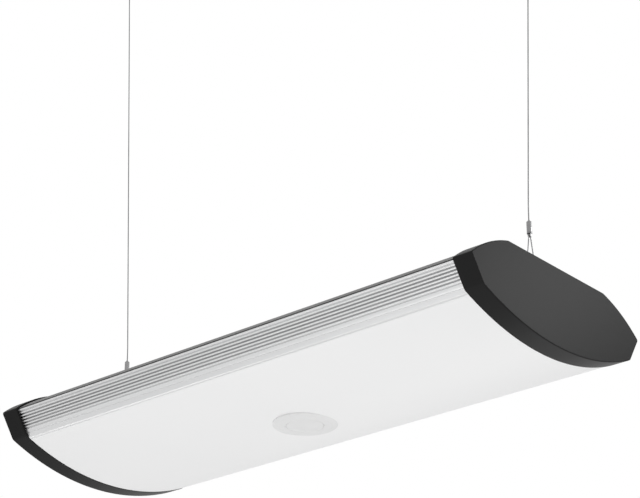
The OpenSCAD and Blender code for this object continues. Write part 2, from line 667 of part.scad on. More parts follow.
module sensor_board() color("darkgreen") at_lamp()
    translate([0, 0, sensor_step - pcb_t - thread_fit]) cylinder(r = sensor_r - 1.6, h = pcb_t);
module sensor_detector() color(c_steel) at_lamp() translate([0, 0, sensor_step - pcb_t - 2 * thread_fit]) {
    translate([0, 0, -4.2]) cylinder(r = 4.1, h = 4.2);
    translate([0, 0, -0.6]) cylinder(r = 4.6, h = 0.6);
}
module sensor_lead() color("dimgray") at_lamp()
    tube(concat(spline([[0, 0, sensor_top - 3], [0, 0, sensor_top + 4], [0, 0.4, (sensor_top + tray_under) / 2],
        [0, 0, tray_under], [0, 0, -tray_drop + 3], [-7, -3, -tray_drop + 9], [-18, -10, -tray_drop + 9],
        [driver_x + driver_len / 2 + 20, sensor_lead_y, lead_z],
        [driver_x + driver_len / 2 + lead_out, sensor_lead_y, lead_z]], 5),
        [[driver_x + driver_len / 2 - 4, sensor_lead_y, lead_z]]), 1.1, 6, [-1, 1, 1]);

// ---- Suspension; each piece is made on the Z axis and moved to its cable ----

module on_cable(s) translate([s * cable_span / 2, 0, 0]) children();
module on_anchor(s) translate([s * anchor_span / 2, 0, 0]) children();
base_t = 3;
spigot_r = 5.5;
spigot_low = -8;
cap_low = -19;
ball_z = -13;
anchor_gap = 0.1;
module anchor_base() color(c_steel) difference() {
    union() {
        translate([0, 0, -base_t]) cylinder(r = anchor_r, h = base_t);
        translate([0, 0, spigot_low]) cylinder(r = spigot_r, h = -spigot_low);
    }
    translate([0, 0, spigot_low - 1]) cylinder(r = anchor_hole_r, h = 1 - spigot_low + 1);
    // Room for the ceiling screw's head
    translate([0, 0, spigot_low - 1]) cylinder(r = spigot_r - 1.2, h = 1 - spigot_low - base_t - 1);
}
module anchor_cap() color(c_steel) difference() {
    translate([0, 0, cap_low]) cylinder(r = anchor_r, h = -base_t - thread_fit - cap_low);
    translate([0, 0, spigot_low - 1]) cylinder(r = spigot_r + thread_fit, h = 12);
    translate([0, 0, ball_z]) cylinder(r = ball_r + 0.7, h = 12);
    translate([0, 0, ball_z]) sphere(r = ball_r + anchor_gap);
    // Flared mouth that lets the cable swing
    translate([0, 0, cap_low - eps]) cylinder(r1 = 3.7, r2 = 1.85, h = ball_z - 1.8 - cap_low + 2 * eps);
}
module cable_ball() color(c_steel) translate([0, 0, ball_z]) sphere(r = ball_r);

grip_z = grip_rise - drop;
nozzle_up = 1.4;
// Heights of the cable's route, from just under the ball to its end inside the gripper. It leaves the
// gripper's nozzle straight up, bends out within bend_len, and goes on straight to the ball
cable_z = [-15.6, -35, -60, -85, -110, -135, -160, -185, -210, -235, -260,
    -285, -310, -335, -360, -385, -410, -435, -460, -485, -495, -505, -523.5];
bend_len = 20;
bend_z = grip_z + grip_len + nozzle_up + 1;
cable_lean = (anchor_span - cable_span) / 2 / (ball_z - bend_z - bend_len / 2);
function cable_out(z) = let (t = max(z - bend_z, 0))
    cable_lean * (t < bend_len ? t * t / (2 * bend_len) : t - bend_len / 2);
module cable(s) color(c_steel) tube([for (z = cable_z) [s * cable_out(z), 0, z]], cable_r, 8, [0, 1, 0]);

grip_bore = grip_r - 0.7;
plug_t = 1;
plug_up = 1.6;
taper_low = 6.2;
taper_high = 8.6;
nozzle_r = 1.25;
cable_way = cable_r + 0.15;
ball_small = 0.55;
balls_at = cable_r + ball_small + 0.03;
balls_z = 6.6;
flange_z = 4.6;
flange_t = 0.6;
eye_drop = 2.3;
eye_r = hook_r + 0.3;
module gripper_body() color(c_steel) translate([0, 0, grip_z]) difference() {
    cylinder(r = grip_r, h = grip_len);
    translate([0, 0, -1]) cylinder(r = grip_bore, h = taper_low + 1);
    translate([0, 0, taper_low - eps])
        cylinder(r1 = grip_bore, r2 = nozzle_r + 0.1, h = taper_high - taper_low + eps);
    translate([0, 0, taper_high - eps]) cylinder(r = nozzle_r + 0.1, h = grip_len);
}
module gripper_plug() color(c_steel) translate([0, 0, grip_z]) difference() {
    union() {
        translate([0, 0, -plug_t]) cylinder(r = grip_r, h = plug_t - thread_fit);
        translate([0, 0, -plug_t]) cylinder(r = grip_bore - thread_fit, h = plug_t + plug_up);
        // Eye for the hook
        translate([-1.8, -0.7, -plug_t - eye_drop]) cube([3.6, 1.4, eye_drop + 0.5]);
        translate([0, 0.7, -plug_t - eye_drop]) rotate([90, 0, 0]) cylinder(r = 1.8, h = 1.4);
    }
    translate([0, 0, 0.6]) cylinder(r = cable_way, h = plug_up + 1);
    translate([0, 2, -plug_t - eye_drop]) rotate([90, 0, 0]) cylinder(r = eye_r, h = 4);
}
module gripper_plunger() color(c_steel) translate([0, 0, grip_z]) difference() {
    union() {
        translate([0, 0, flange_z]) cylinder(r = nozzle_r, h = grip_len + nozzle_up - flange_z);
        translate([0, 0, flange_z]) cylinder(r = grip_bore - 0.15, h = flange_t);
    }
    translate([0, 0, flange_z - 1]) cylinder(r = cable_way, h = grip_len + nozzle_up - flange_z + 2);
    // Windows for the gripping balls
    for (a = [0:120:240]) rotate(a) translate([0.3, 0, balls_z]) rotate([0, 90, 0])
        cylinder(r = ball_small + 0.08, h = 3);
}
module gripper_balls() color(c_steel) translate([0, 0, grip_z + balls_z])
    for (a = [0:120:240]) rotate(a) translate([balls_at, 0, 0]) sphere(r = ball_small, $fn = 24);
spring_wire = 0.15;
spring_turns = 4;
spring_r = grip_bore - 0.35;
module gripper_spring() color(c_steel) translate([0, 0, grip_z]) {
    low = plug_up + spring_wire + 0.02;
    high = flange_z - spring_wire - 0.02;
    n = spring_turns * 12;
    tube([for (i = [0:n]) let (a = 360 * i / 12) [spring_r * cos(a), spring_r * sin(a), low + (high - low) * i / n]],
        spring_wire, 6, [0, 0, 1]);
}
// The hook: one bent wire from foot to foot, over the eye
eye_z = grip_z - plug_t - eye_drop;
foot_z = -drop + cover_under - hook_r - fit;
bend_r = 1.5;
module hook() color(c_steel) {
    top = [for (a = [0:30:180]) [0, bend_r * cos(a), eye_z - bend_r + bend_r * sin(a)]];
    leg_low = [for (a = [180:30:270]) [0, hook_half + bend_r + bend_r * cos(a), foot_z + bend_r + bend_r * sin(a)]];
    half = concat([[0, hook_half + bend_r + foot_len - 0.3, foot_z]], [for (i = [len(leg_low) - 1:-1:0]) leg_low[i]]);
    other = [for (i = [len(half) - 1:-1:0]) [0, -half[i][1], half[i][2]]];
    tube(concat(half, top, other), hook_r, 8, [1, 0, 0]);
    // Upset ends of the feet, on the axis that the lamp tilts about
    for (s = [-1, 1]) translate([0, s * (hook_half + bend_r + foot_len), foot_z]) rotate([90 * s, 0, 0])
        cylinder(r = hook_r + 0.05, h = foot_len - 1, $fn = 24);
}

module anchor_base_right() on_anchor(1) anchor_base();
module anchor_base_left() on_anchor(-1) anchor_base();
module anchor_cap_right() on_anchor(1) anchor_cap();
module anchor_cap_left() on_anchor(-1) anchor_cap();
module cable_ball_right() on_anchor(1) cable_ball();
module cable_ball_left() on_anchor(-1) cable_ball();
module cable_right() on_cable(1) cable(1);
module cable_left() on_cable(-1) cable(-1);
module gripper_body_right() on_cable(1) gripper_body();
module gripper_body_left() on_cable(-1) gripper_body();
module gripper_plug_right() on_cable(1) gripper_plug();
module gripper_plug_left() on_cable(-1) gripper_plug();
module gripper_plunger_right() on_cable(1) gripper_plunger();
module gripper_plunger_left() on_cable(-1) gripper_plunger();
module gripper_spring_right() on_cable(1) gripper_spring();
module gripper_spring_left() on_cable(-1) gripper_spring();
module gripper_balls_right() on_cable(1) gripper_balls();
module gripper_balls_left() on_cable(-1) gripper_balls();
module hook_right() on_cable(1) hook();
module hook_left() on_cable(-1) hook();

rail_near();
rail_far();
top_cover();
tray();
tray_screws();
led_boards();
leds();
board_screws();
board_leads();
driver_base();
driver_case();
driver_board();
driver_screws();
terminal_block();
ground_screw();
inlet_bushing();
input_leads();
output_leads();
lens();
end_cap_right();
end_cap_left();
end_plate_right();
end_plate_left();
gasket_right();
gasket_left();
plate_screws_right();
plate_screws_left();
sensor_bezel();
sensor_dome();
sensor_nut();
sensor_body();
sensor_board();
sensor_detector();
sensor_lead();
anchor_base_right();
anchor_base_left();
anchor_cap_right();
anchor_cap_left();
cable_ball_right();
cable_ball_left();
cable_right();
cable_left();
gripper_body_right();
gripper_body_left();
gripper_plug_right();
gripper_plug_left();
gripper_plunger_right();
gripper_plunger_left();
gripper_spring_right();
gripper_spring_left();
gripper_balls_right();
gripper_balls_left();
hook_right();
hook_left();
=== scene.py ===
# Hanging shop light: what is seen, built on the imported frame.
# Sizes are in millimetres, and turned into metres where the meshes are made. +X runs along the lamp and +Z is up.
# The ceiling is at z = 0. What belongs to the lamp's body is drawn about its own middle, with z = 0 at its flat top.
import json
import math

import bmesh
import bpy
from mathutils import Matrix, Vector

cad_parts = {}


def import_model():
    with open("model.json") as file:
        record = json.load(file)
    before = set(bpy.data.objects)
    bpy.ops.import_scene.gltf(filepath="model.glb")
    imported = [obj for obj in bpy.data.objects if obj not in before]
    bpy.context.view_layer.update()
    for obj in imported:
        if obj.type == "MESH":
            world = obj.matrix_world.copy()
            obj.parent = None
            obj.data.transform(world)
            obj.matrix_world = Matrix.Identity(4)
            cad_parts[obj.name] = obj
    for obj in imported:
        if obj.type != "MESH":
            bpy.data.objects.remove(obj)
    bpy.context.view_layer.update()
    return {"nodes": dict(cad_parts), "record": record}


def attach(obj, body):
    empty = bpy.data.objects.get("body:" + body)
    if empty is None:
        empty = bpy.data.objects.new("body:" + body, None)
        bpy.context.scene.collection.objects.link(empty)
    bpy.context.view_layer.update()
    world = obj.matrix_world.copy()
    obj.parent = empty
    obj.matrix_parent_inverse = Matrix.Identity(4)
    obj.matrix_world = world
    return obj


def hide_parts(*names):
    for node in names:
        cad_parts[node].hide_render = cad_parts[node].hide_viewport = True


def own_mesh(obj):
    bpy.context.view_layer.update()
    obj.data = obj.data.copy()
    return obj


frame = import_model()
nodes = frame["nodes"]
scene = bpy.context.scene

MM = 0.001

# ---- Sizes, as in the part's source ----

# The body's outline
LAMP_LEN, LAMP_W, LAMP_H = 622.0, 270.0, 81.5
FLAT_W, EDGE_DROP, LOWER_W, LOWER_DROP, SHOULDER_RISE = 154.6, 31.0, 236.4, 56.6, 3.8
CORNER_FLAT_R, CORNER_UPPER_R, CORNER_LOWER_R, BOW_INSET = 1.2, 2.5, 7.0, 0.5

# End caps, rails with their grooves, lens, cover and tray
CAP_DEPTH, CAP_WALL, CAP_FACE, CAP_FIT = 21.5, 2.4, 2.5, 0.4
RAIL_SETBACK, RAIL_WALL, RAIL_FOOT = 8.0, 5.3, 2.3
GROOVE_N, GROOVE_PITCH, GROOVE_START, GROOVE_W = 7, 3.17, 2.5, 1.5
GROOVE_DEEP, GROOVE_SHALLOW, LINE_AT = 3.0, 0.8, 26.4
LIP_W, LIP_T, LENS_T, TONGUE_T, TONGUE_W = 2.4, 1.6, 2.2, 1.4, 1.4
COVER_T, COVER_RISE, TRAY_T, TRAY_DROP = 1.0, 0.9, 1.0, 38.0
INLET_R, INLET_X, INLET_ROOM = 4.5, 150.0, 3.0
SLOT_SIZE, SLOT_CORNER = (9.0, 4.0), 0.8

# Sensor
RING_R, RING_T, RING_SLOPE, DOME_R, DOME_RISE, NECK_R, SENSOR_R = 33.0, 1.4, 5.5, 19.0, 3.2, 20.4, 17.0

# Suspension
DROP, HOOK_INSET, ANCHOR_SPAN, LAMP_OFFSET = 570.0, 37.5, 600.0, -8.5
CABLE_R, ANCHOR_R, ANCHOR_HOLE_R, BALL_R = 0.6, 8.0, 2.2, 2.5
GRIP_R, GRIP_LEN, GRIP_RISE, HOOK_R, HOOK_HALF, FOOT_LEN = 2.6, 11.5, 45.0, 0.6, 9.2, 6.0
NOZZLE_UP, BALL_Z, BEND_LEN = 1.4, -13.0, 20.0

# Clearances
FIT, THREAD_FIT, BUTT_GAP = 0.15, 0.05, 0.2

SKIN = CAP_WALL + CAP_FIT
HALF = LAMP_LEN / 2
RAIL_HALF = HALF - RAIL_SETBACK
SKIRT_X = HALF - CAP_DEPTH
LENS_HALF = SKIRT_X - BUTT_GAP
SPAN = LAMP_LEN - 2 * HOOK_INSET
GRIP_Z = GRIP_RISE - DROP
SIDES = (("right", 1), ("left", -1))

# Route of each cable, from inside the gripper up to the ball: straight up through the nozzle, a bend, and straight
# on to the anchor, which stands further out than the gripper
CABLE_Z = [-523.5, -505, -495, -485, -460, -435, -410, -385, -360, -335, -310, -285,
           -260, -235, -210, -185, -160, -135, -110, -85, -60, -35, -15.6]
BEND_Z = GRIP_Z + GRIP_LEN + NOZZLE_UP + 1
CABLE_LEAN = (ANCHOR_SPAN - SPAN) / 2 / (BALL_Z - BEND_Z - BEND_LEN / 2)


def cable_out(z):
    """How far out a cable has leaned at height z."""
    t = max(z - BEND_Z, 0)
    return CABLE_LEAN * (t * t / (2 * BEND_LEN) if t < BEND_LEN else t - BEND_LEN / 2)


# ---- Camera ----

CAMERA_AT = Vector((1196.4, -1374.9, -1316.8)) * MM
TOWARDS_CAMERA = Vector((0.59060, -0.68516, -0.42632))
LENS_MM, SENSOR_MM = 108.24, 36.0
FAR_CLIP = 50.0


def camera():
    data = bpy.data.cameras.new("camera")
    data.sensor_width = SENSOR_MM
    data.lens = LENS_MM
    data.clip_end = FAR_CLIP
    obj = bpy.data.objects.new("camera", data)
    bpy.context.collection.objects.link(obj)
    back = TOWARDS_CAMERA.normalized()
    right = Vector((0, 0, 1)).cross(back).normalized()
    up = back.cross(right)
    obj.matrix_world = Matrix.Translation(CAMERA_AT) @ Matrix((right, up, back)).transposed().to_4x4()
    scene.camera = obj


camera()


# ---- Meshes ----

def mesh_piece(name, points, faces, smooth=30, at_lamp=False):
    """A mesh object from points in millimetres; edges sharper than smooth degrees stay sharp."""
    shift = Vector((LAMP_OFFSET, 0, -DROP)) if at_lamp else Vector((0, 0, 0))
    mesh = bpy.data.meshes.new(name)
    mesh.from_pydata([(Vector(p) + shift) * MM for p in points], [], faces)
    bm = bmesh.new()
    bm.from_mesh(mesh)
    bmesh.ops.recalc_face_normals(bm, faces=bm.faces)
    bm.to_mesh(mesh)
    bm.free()
    for polygon in mesh.polygons:
        polygon.use_smooth = True
    mesh.set_sharp_from_angle(angle=math.radians(smooth))
    obj = bpy.data.objects.new(name, mesh)
    bpy.context.collection.objects.link(obj)
    return obj


def loft(rings, loop=False):
    """Points and faces of a skin over rings of one size, closed by a face at each end or, with loop, on itself."""
    n = len(rings[0])
    points = [p for ring in rings for p in ring]
    faces = []
    count = len(rings)
    for i in range(count if loop else count - 1):
        j = (i + 1) % count
        for k in range(n):
            m = (k + 1) % n
            faces.append((i * n + k, i * n + m, j * n + m, j * n + k))
    if not loop:
        faces.append(tuple(range(n)))
        faces.append(tuple(range((count - 1) * n, count * n)))
    return points, faces


def lathe(profile, n, at=(0, 0, 0), shape=None):
    """Turned rings with n points from a (radius, z) profile; shape(radius, z, angle) may change a point."""
    rings = []
    for r, z in profile:
        ring = []
        for k in range(n):
            a = 2 * math.pi * k / n
            rr, zz = (r, z) if shape is None else shape(r, z, a)
            ring.append((at[0] + rr * math.cos(a), at[1] + rr * math.sin(a), at[2] + zz))
        rings.append(ring)
    return rings


def rounded(profile, radius, steps=4):
    """The closed (radius, z) profile with its corners rounded; radius is one number or one for each point."""
    out = []
    n = len(profile)
    for i, point in enumerate(profile):
        r = radius[i] if isinstance(radius, (list, tuple)) else radius
        p, a, b = Vector(point), Vector(profile[i - 1]), Vector(profile[(i + 1) % n])
        u, v = (a - p), (b - p)
        r_here = min(r, u.length * 0.45, v.length * 0.45)
        if r_here < 0.01:
            out.append(tuple(p))
            continue
        start, end = p + u.normalized() * r_here, p + v.normalized() * r_here
        for k in range(steps + 1):
            t = k / steps
            q = start * (1 - t) ** 2 + p * 2 * t * (1 - t) + end * t * t
            out.append(tuple(q))
    return out


def dress(piece, slot):
    piece.data.materials.clear()
    piece.data.materials.append(looks[slot])


def place(piece, body, slot, replaced):
    """Puts a piece on its body, in place of a CAD node, with its slot's finish."""
    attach(piece, body)
    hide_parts(replaced)
    dress(piece, slot)


# ---- Outline of the lamp across its length, as (y, z) with z = 0 at the flat top ----

def angle_of(v):
    return math.atan2(v[1], v[0])


def arc(c, r, a0, a1, n):
    """Points on a circle about c, from angle a0 to a1 in n steps."""
    return [Vector((c[0] + r * math.cos(a0 + (a1 - a0) * i / n), c[1] + r * math.sin(a0 + (a1 - a0) * i / n)))
            for i in range(n + 1)]


flat_corner = Vector((FLAT_W / 2, 0))
wide_corner = Vector((LAMP_W / 2, -EDGE_DROP))
low_corner = Vector((LOWER_W / 2, -LOWER_DROP))
side_dir = (low_corner - wide_corner).normalized()
side_out = Vector((-side_dir[1], side_dir[0]))
bow_rise = LAMP_H - LOWER_DROP
BOW_R = (LOWER_W * LOWER_W / 4 + bow_rise * bow_rise) / (2 * bow_rise)
bow_c = Vector((0, BOW_R - LAMP_H))
chord = wide_corner - flat_corner
SHOULDER_R = (chord.length ** 2 / 4 + SHOULDER_RISE ** 2) / (2 * SHOULDER_RISE)
shoulder_c = (flat_corner + wide_corner) / 2 - Vector((-chord[1], chord[0])).normalized() * (SHOULDER_R - SHOULDER_RISE)


def side_hit(c, r, way, d):
    """Where a circle about c meets the side moved in by d, on its lower (1) or upper (-1) way."""
    h = wide_corner.dot(side_out) - d - c.dot(side_out)
    return c + h * side_out + way * math.sqrt(r * r - h * h) * side_dir


def upper_at(d):
    """Corner between the shoulder and the side, both moved in by d."""
    return side_hit(shoulder_c, SHOULDER_R - d, -1, d)


def lower_at(d, b):
    """Corner between the side, moved in by d, and the bow, moved in by b."""
    return side_hit(bow_c, BOW_R - b, 1, d)


def flat_at(d):
    """Corner between the flat top and the shoulder, both moved in by d."""
    return Vector((shoulder_c[0] + math.sqrt((SHOULDER_R - d) ** 2 - (d + shoulder_c[1]) ** 2), -d))


def half_outline(d, b, flat_r, upper_r, lower_r):
    """From the flat to the bow; the top and the sides are moved in by d, the bow by b."""
    cf, cu, cl = flat_at(d + flat_r), upper_at(d + upper_r), lower_at(d + lower_r, b + lower_r)
    return (arc(cf, flat_r, math.pi / 2, angle_of(cf - shoulder_c), 5)
            + arc(shoulder_c, SHOULDER_R - d, angle_of(cf - shoulder_c), angle_of(cu - shoulder_c), 28)[1:-1]
            + arc(cu, upper_r, angle_of(cu - shoulder_c), angle_of(side_out), 8)
            + arc(cl, lower_r, angle_of(side_out), angle_of(cl - bow_c), 8))


def mirrored(points):
    """The same points on the other side of the middle, in the other order."""
    return [Vector((-p[0], p[1])) for p in reversed(points)]


def cap_outline(d):
    """The whole outline moved in by d, with the caps' rounded corners."""
    half = half_outline(d, d, max(CORNER_FLAT_R - d, 0.05), max(CORNER_UPPER_R - d, 0.05),
                        max(CORNER_LOWER_R - d, 0.3))
    a = angle_of(half[-1] - bow_c)
    bow = arc(bow_c, BOW_R - d, a, -math.pi - a, 80)[1:-1]
    return half + bow + mirrored(half)


def section(x, points):
    """A ring of (x, y, z) points at one place along the lamp."""
    return [(x, p[0], p[1]) for p in points]


body_upper = upper_at(SKIN)
body_lower = lower_at(SKIN, BOW_INSET)
BODY_BOW_R = BOW_R - BOW_INSET
LENS_LOW = bow_c[1] - BODY_BOW_R
lip_y = body_lower[0] - LIP_W
COVER_EDGE_Z = body_upper[1] + 1.5


def bow_z(y, r=BODY_BOW_R):
    """Height of the bow at y."""
    return bow_c[1] - math.sqrt(r * r - y * y)


# ---- Materials ----

def new_material(name):
    material = bpy.data.materials.new(name)
    material.use_nodes = True
    tree = material.node_tree
    return material, tree, tree.nodes["Principled BSDF"]


def node(tree, kind, **values):
    """A shader node; each value goes to the property or the input of that name."""
    made = tree.nodes.new(kind)
    for key, value in values.items():
        if hasattr(made, key):
            setattr(made, key, value)
        else:
            made.inputs[key].default_value = value
    return made


def place_texture(tree, scale):
    """Object coordinates in metres, stretched by scale."""
    coords = node(tree, "ShaderNodeTexCoord")
    mapping = node(tree, "ShaderNodeMapping")
    mapping.inputs["Scale"].default_value = scale
    tree.links.new(coords.outputs["Object"], mapping.inputs["Vector"])
    return mapping.outputs["Vector"]


def noise(tree, scale, detail=3.0, rough=0.5):
    made = node(tree, "ShaderNodeTexNoise", Scale=1.0, Detail=detail, Roughness=rough)
    tree.links.new(place_texture(tree, scale), made.inputs["Vector"])
    return made.outputs["Fac"]


def ramp(tree, fac, low, high):
    """A colour between low and high, over the middle of the noise's range."""
    made = node(tree, "ShaderNodeValToRGB")
    for stop, position, colour in zip(made.color_ramp.elements, (0.3, 0.7), (low, high)):
        stop.position = position
        stop.color = (*colour, 1)
    tree.links.new(fac, made.inputs["Fac"])
    return made.outputs["Color"]


def spread(tree, fac, low, high):
    """A number between low and high."""
    made = node(tree, "ShaderNodeMapRange")
    made.inputs["To Min"].default_value = low
    made.inputs["To Max"].default_value = high
    tree.links.new(fac, made.inputs["Value"])
    return made.outputs["Result"]


def bump(tree, shader, height, strength, distance):
    made = node(tree, "ShaderNodeBump", Strength=strength, Distance=distance)
    tree.links.new(height, made.inputs["Height"])
    tree.links.new(made.outputs["Normal"], shader.inputs["Normal"])


def surface(name, low, high, rough, metallic=0.0, specular=0.5, grain=(900, 900, 900), depth=0.00002, strength=0.3,
            colour_scale=(14, 14, 14)):
    """A finish with a slight cloudy variation of colour and roughness, and a fine grain as relief."""
    material, tree, shader = new_material(name)
    shader.inputs["Metallic"].default_value = metallic
    shader.inputs["Specular IOR Level"].default_value = specular
    cloud = noise(tree, colour_scale, 4.0)
    tree.links.new(ramp(tree, cloud, low, high), shader.inputs["Base Color"])
    fine = noise(tree, grain, 2.0)
    tree.links.new(spread(tree, fine, rough[0], rough[1]), shader.inputs["Roughness"])
    bump(tree, shader, fine, strength, depth)
    return material


def grey(v, warm=0.0):
    """A grey, a share warmer in red and cooler in blue."""
    return (v * (1 + warm), v, v * (1 - warm))


def aluminium():
    """Satin anodised extrusion: fine die lines along the lamp, and painted shade down in the grooves, where the base
    colour turns dark grey.
    """
    material, tree, shader = new_material("aluminium")
    shader.inputs["Metallic"].default_value = 1.0
    cloud = noise(tree, (3, 60, 60), 3.0)
    # The groove value paints shade into the grooves: it mixes the metal's colour towards a dark grey down in them
    deep = node(tree, "ShaderNodeAttribute", attribute_name="groove")
    mix = node(tree, "ShaderNodeMix", data_type="RGBA")
    tree.links.new(deep.outputs["Fac"], mix.inputs["Factor"])
    tree.links.new(ramp(tree, cloud, (0.73, 0.733, 0.736), (0.78, 0.783, 0.786)), mix.inputs["A"])
    # Dark grey of the painted shade in the grooves
    mix.inputs["B"].default_value = (0.36, 0.363, 0.366, 1)
    tree.links.new(mix.outputs["Result"], shader.inputs["Base Color"])
    lines = noise(tree, (6, 1500, 1500), 4.0, 0.6)
    tree.links.new(spread(tree, lines, 0.30, 0.46), shader.inputs["Roughness"])
    bump(tree, shader, lines, 0.25, 0.00003)
    return material


def frosted():
    """Opal acrylic: a soft diffusing white with a fine grain as relief."""
    material, tree, shader = new_material("frosted_lens")
    cloud = noise(tree, (5, 9, 9), 2.0)
    tree.links.new(ramp(tree, cloud, (0.865, 0.867, 0.868), (0.88, 0.88, 0.88)), shader.inputs["Base Color"])
    shader.inputs["Specular IOR Level"].default_value = 0.35
    fine = noise(tree, (1800, 1800, 1800), 2.0)
    tree.links.new(spread(tree, fine, 0.42, 0.52), shader.inputs["Roughness"])
    bump(tree, shader, fine, 0.15, 0.00002)
    return material


def strands():
    """Bright drawn wire, its tone and roughness varying in fine streaks along its length."""
    material, tree, shader = new_material("cable_steel")
    shader.inputs["Metallic"].default_value = 1.0
    fine = noise(tree, (700, 700, 60), 3.0)
    tree.links.new(ramp(tree, fine, (0.14, 0.142, 0.145), (0.26, 0.262, 0.265)), shader.inputs["Base Color"])
    tree.links.new(spread(tree, fine, 0.28, 0.42), shader.inputs["Roughness"])
    return material


def board(name, base, trace):
    """Solder mask with faint tracks under it."""
    material, tree, shader = new_material(name)
    brick = node(tree, "ShaderNodeTexBrick", Scale=1.0)
    brick.inputs["Color1"].default_value = (*base, 1)
    brick.inputs["Color2"].default_value = (*base, 1)
    brick.inputs["Mortar"].default_value = (*trace, 1)
    brick.inputs["Mortar Size"].default_value = 0.03
    tree.links.new(place_texture(tree, (90, 160, 160)), brick.inputs["Vector"])
    tree.links.new(brick.outputs["Color"], shader.inputs["Base Color"])
    fine = noise(tree, (500, 500, 500), 2.0)
    tree.links.new(spread(tree, fine, 0.22, 0.34), shader.inputs["Roughness"])
    return material


looks = {
    "aluminium": aluminium(),
    "dark_sheet": surface("dark_sheet", grey(0.105), grey(0.125), (0.45, 0.6), specular=0.4, grain=(1400, 1400, 1400),
                          depth=0.00004),
    "white_sheet": surface("white_sheet", grey(0.78), grey(0.82), (0.3, 0.45)),
    "steel": surface("steel", (0.20, 0.202, 0.206), (0.30, 0.302, 0.306), (0.25, 0.42), metallic=1.0,
                     grain=(500, 500, 500), colour_scale=(120, 120, 120)),
    "chrome": surface("chrome", (0.24, 0.24, 0.243), (0.30, 0.30, 0.303), (0.18, 0.26), metallic=1.0,
                      grain=(900, 900, 900), depth=0.000005, colour_scale=(200, 200, 200)),
    "cable_steel": strands(),
    "brass": surface("brass", (0.62, 0.46, 0.18), (0.72, 0.56, 0.24), (0.25, 0.4), metallic=1.0),
    "black_moulding": surface("black_moulding", grey(0.0165), grey(0.0185), (0.36, 0.44), specular=0.04,
                              grain=(1600, 1600, 1600), depth=0.00002, strength=0.2),
    "white_moulding": surface("white_moulding", grey(0.74, 0.01), grey(0.78, 0.01), (0.4, 0.55)),
    "sensor_white": surface("sensor_white", grey(0.75), grey(0.77), (0.38, 0.48), specular=0.35,
                            grain=(1500, 1500, 1500)),
    "frosted_lens": frosted(),
    "white_board": board("white_board", (0.80, 0.80, 0.77), (0.70, 0.70, 0.66)),
    "green_board": board("green_board", (0.012, 0.12, 0.04), (0.03, 0.20, 0.07)),
    "led_phosphor": surface("led_phosphor", (0.80, 0.62, 0.10), (0.86, 0.70, 0.16), (0.2, 0.35)),
    "wire_insulation": surface("wire_insulation", grey(0.05), grey(0.07), (0.4, 0.55), grain=(300, 2500, 2500)),
    "foam_rubber": surface("foam_rubber", grey(0.06), grey(0.09), (0.8, 0.95), grain=(2600, 2600, 2600),
                           depth=0.0002, strength=0.6),
}
for row in frame["record"]["subparts"]:
    dress(nodes[row["node"]], row["material_slot"])


# ---- Cables: six outer strands laid round a core ----

def cable(side, s):
    lay, step, n = 9.6, 0.8, 24            # length of one turn, distance of the rings, points of a ring
    top, low = CABLE_Z[-1], CABLE_Z[0]
    count = int((top - low) / step)
    rings = []
    for i in range(count + 1):
        z = low + (top - low) * i / count
        x = s * (SPAN / 2 + cable_out(z))
        turn = 2 * math.pi * (z - low) / lay
        ring = []
        for k in range(n):
            a = 2 * math.pi * k / n
            lobe = abs(math.cos(3 * (a - turn)))
            r = CABLE_R * (0.84 + 0.16 * lobe ** 0.6)
            ring.append((x + r * math.cos(a), r * math.sin(a), z))
        rings.append(ring)
    piece = mesh_piece("cable_strands_" + side, *loft(rings), smooth=50)
    place(piece, side + "_cable", "cable_steel", "cable_" + side)
    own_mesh(piece)
    return piece


cables = {side: cable(side, s) for side, s in SIDES}


# ---- Ceiling anchors ----

BASE_T, SPIGOT_R, SPIGOT_WALL, SPIGOT_LOW = 3.0, 5.5, 1.2, -8.0
CAP_LOW, CAP_MOUTH_R, CAP_NECK_R, CAP_NECK_UP = -19.0, 3.7, 1.85, 1.8
BALL_GAP, BALL_ROOM = 0.1, 0.7
KNURL_TOP, KNURL_LOW, KNURL_DEEP, KNURL_N, KNURL_END = -5.5, -11.5, 0.18, 90, 0.3


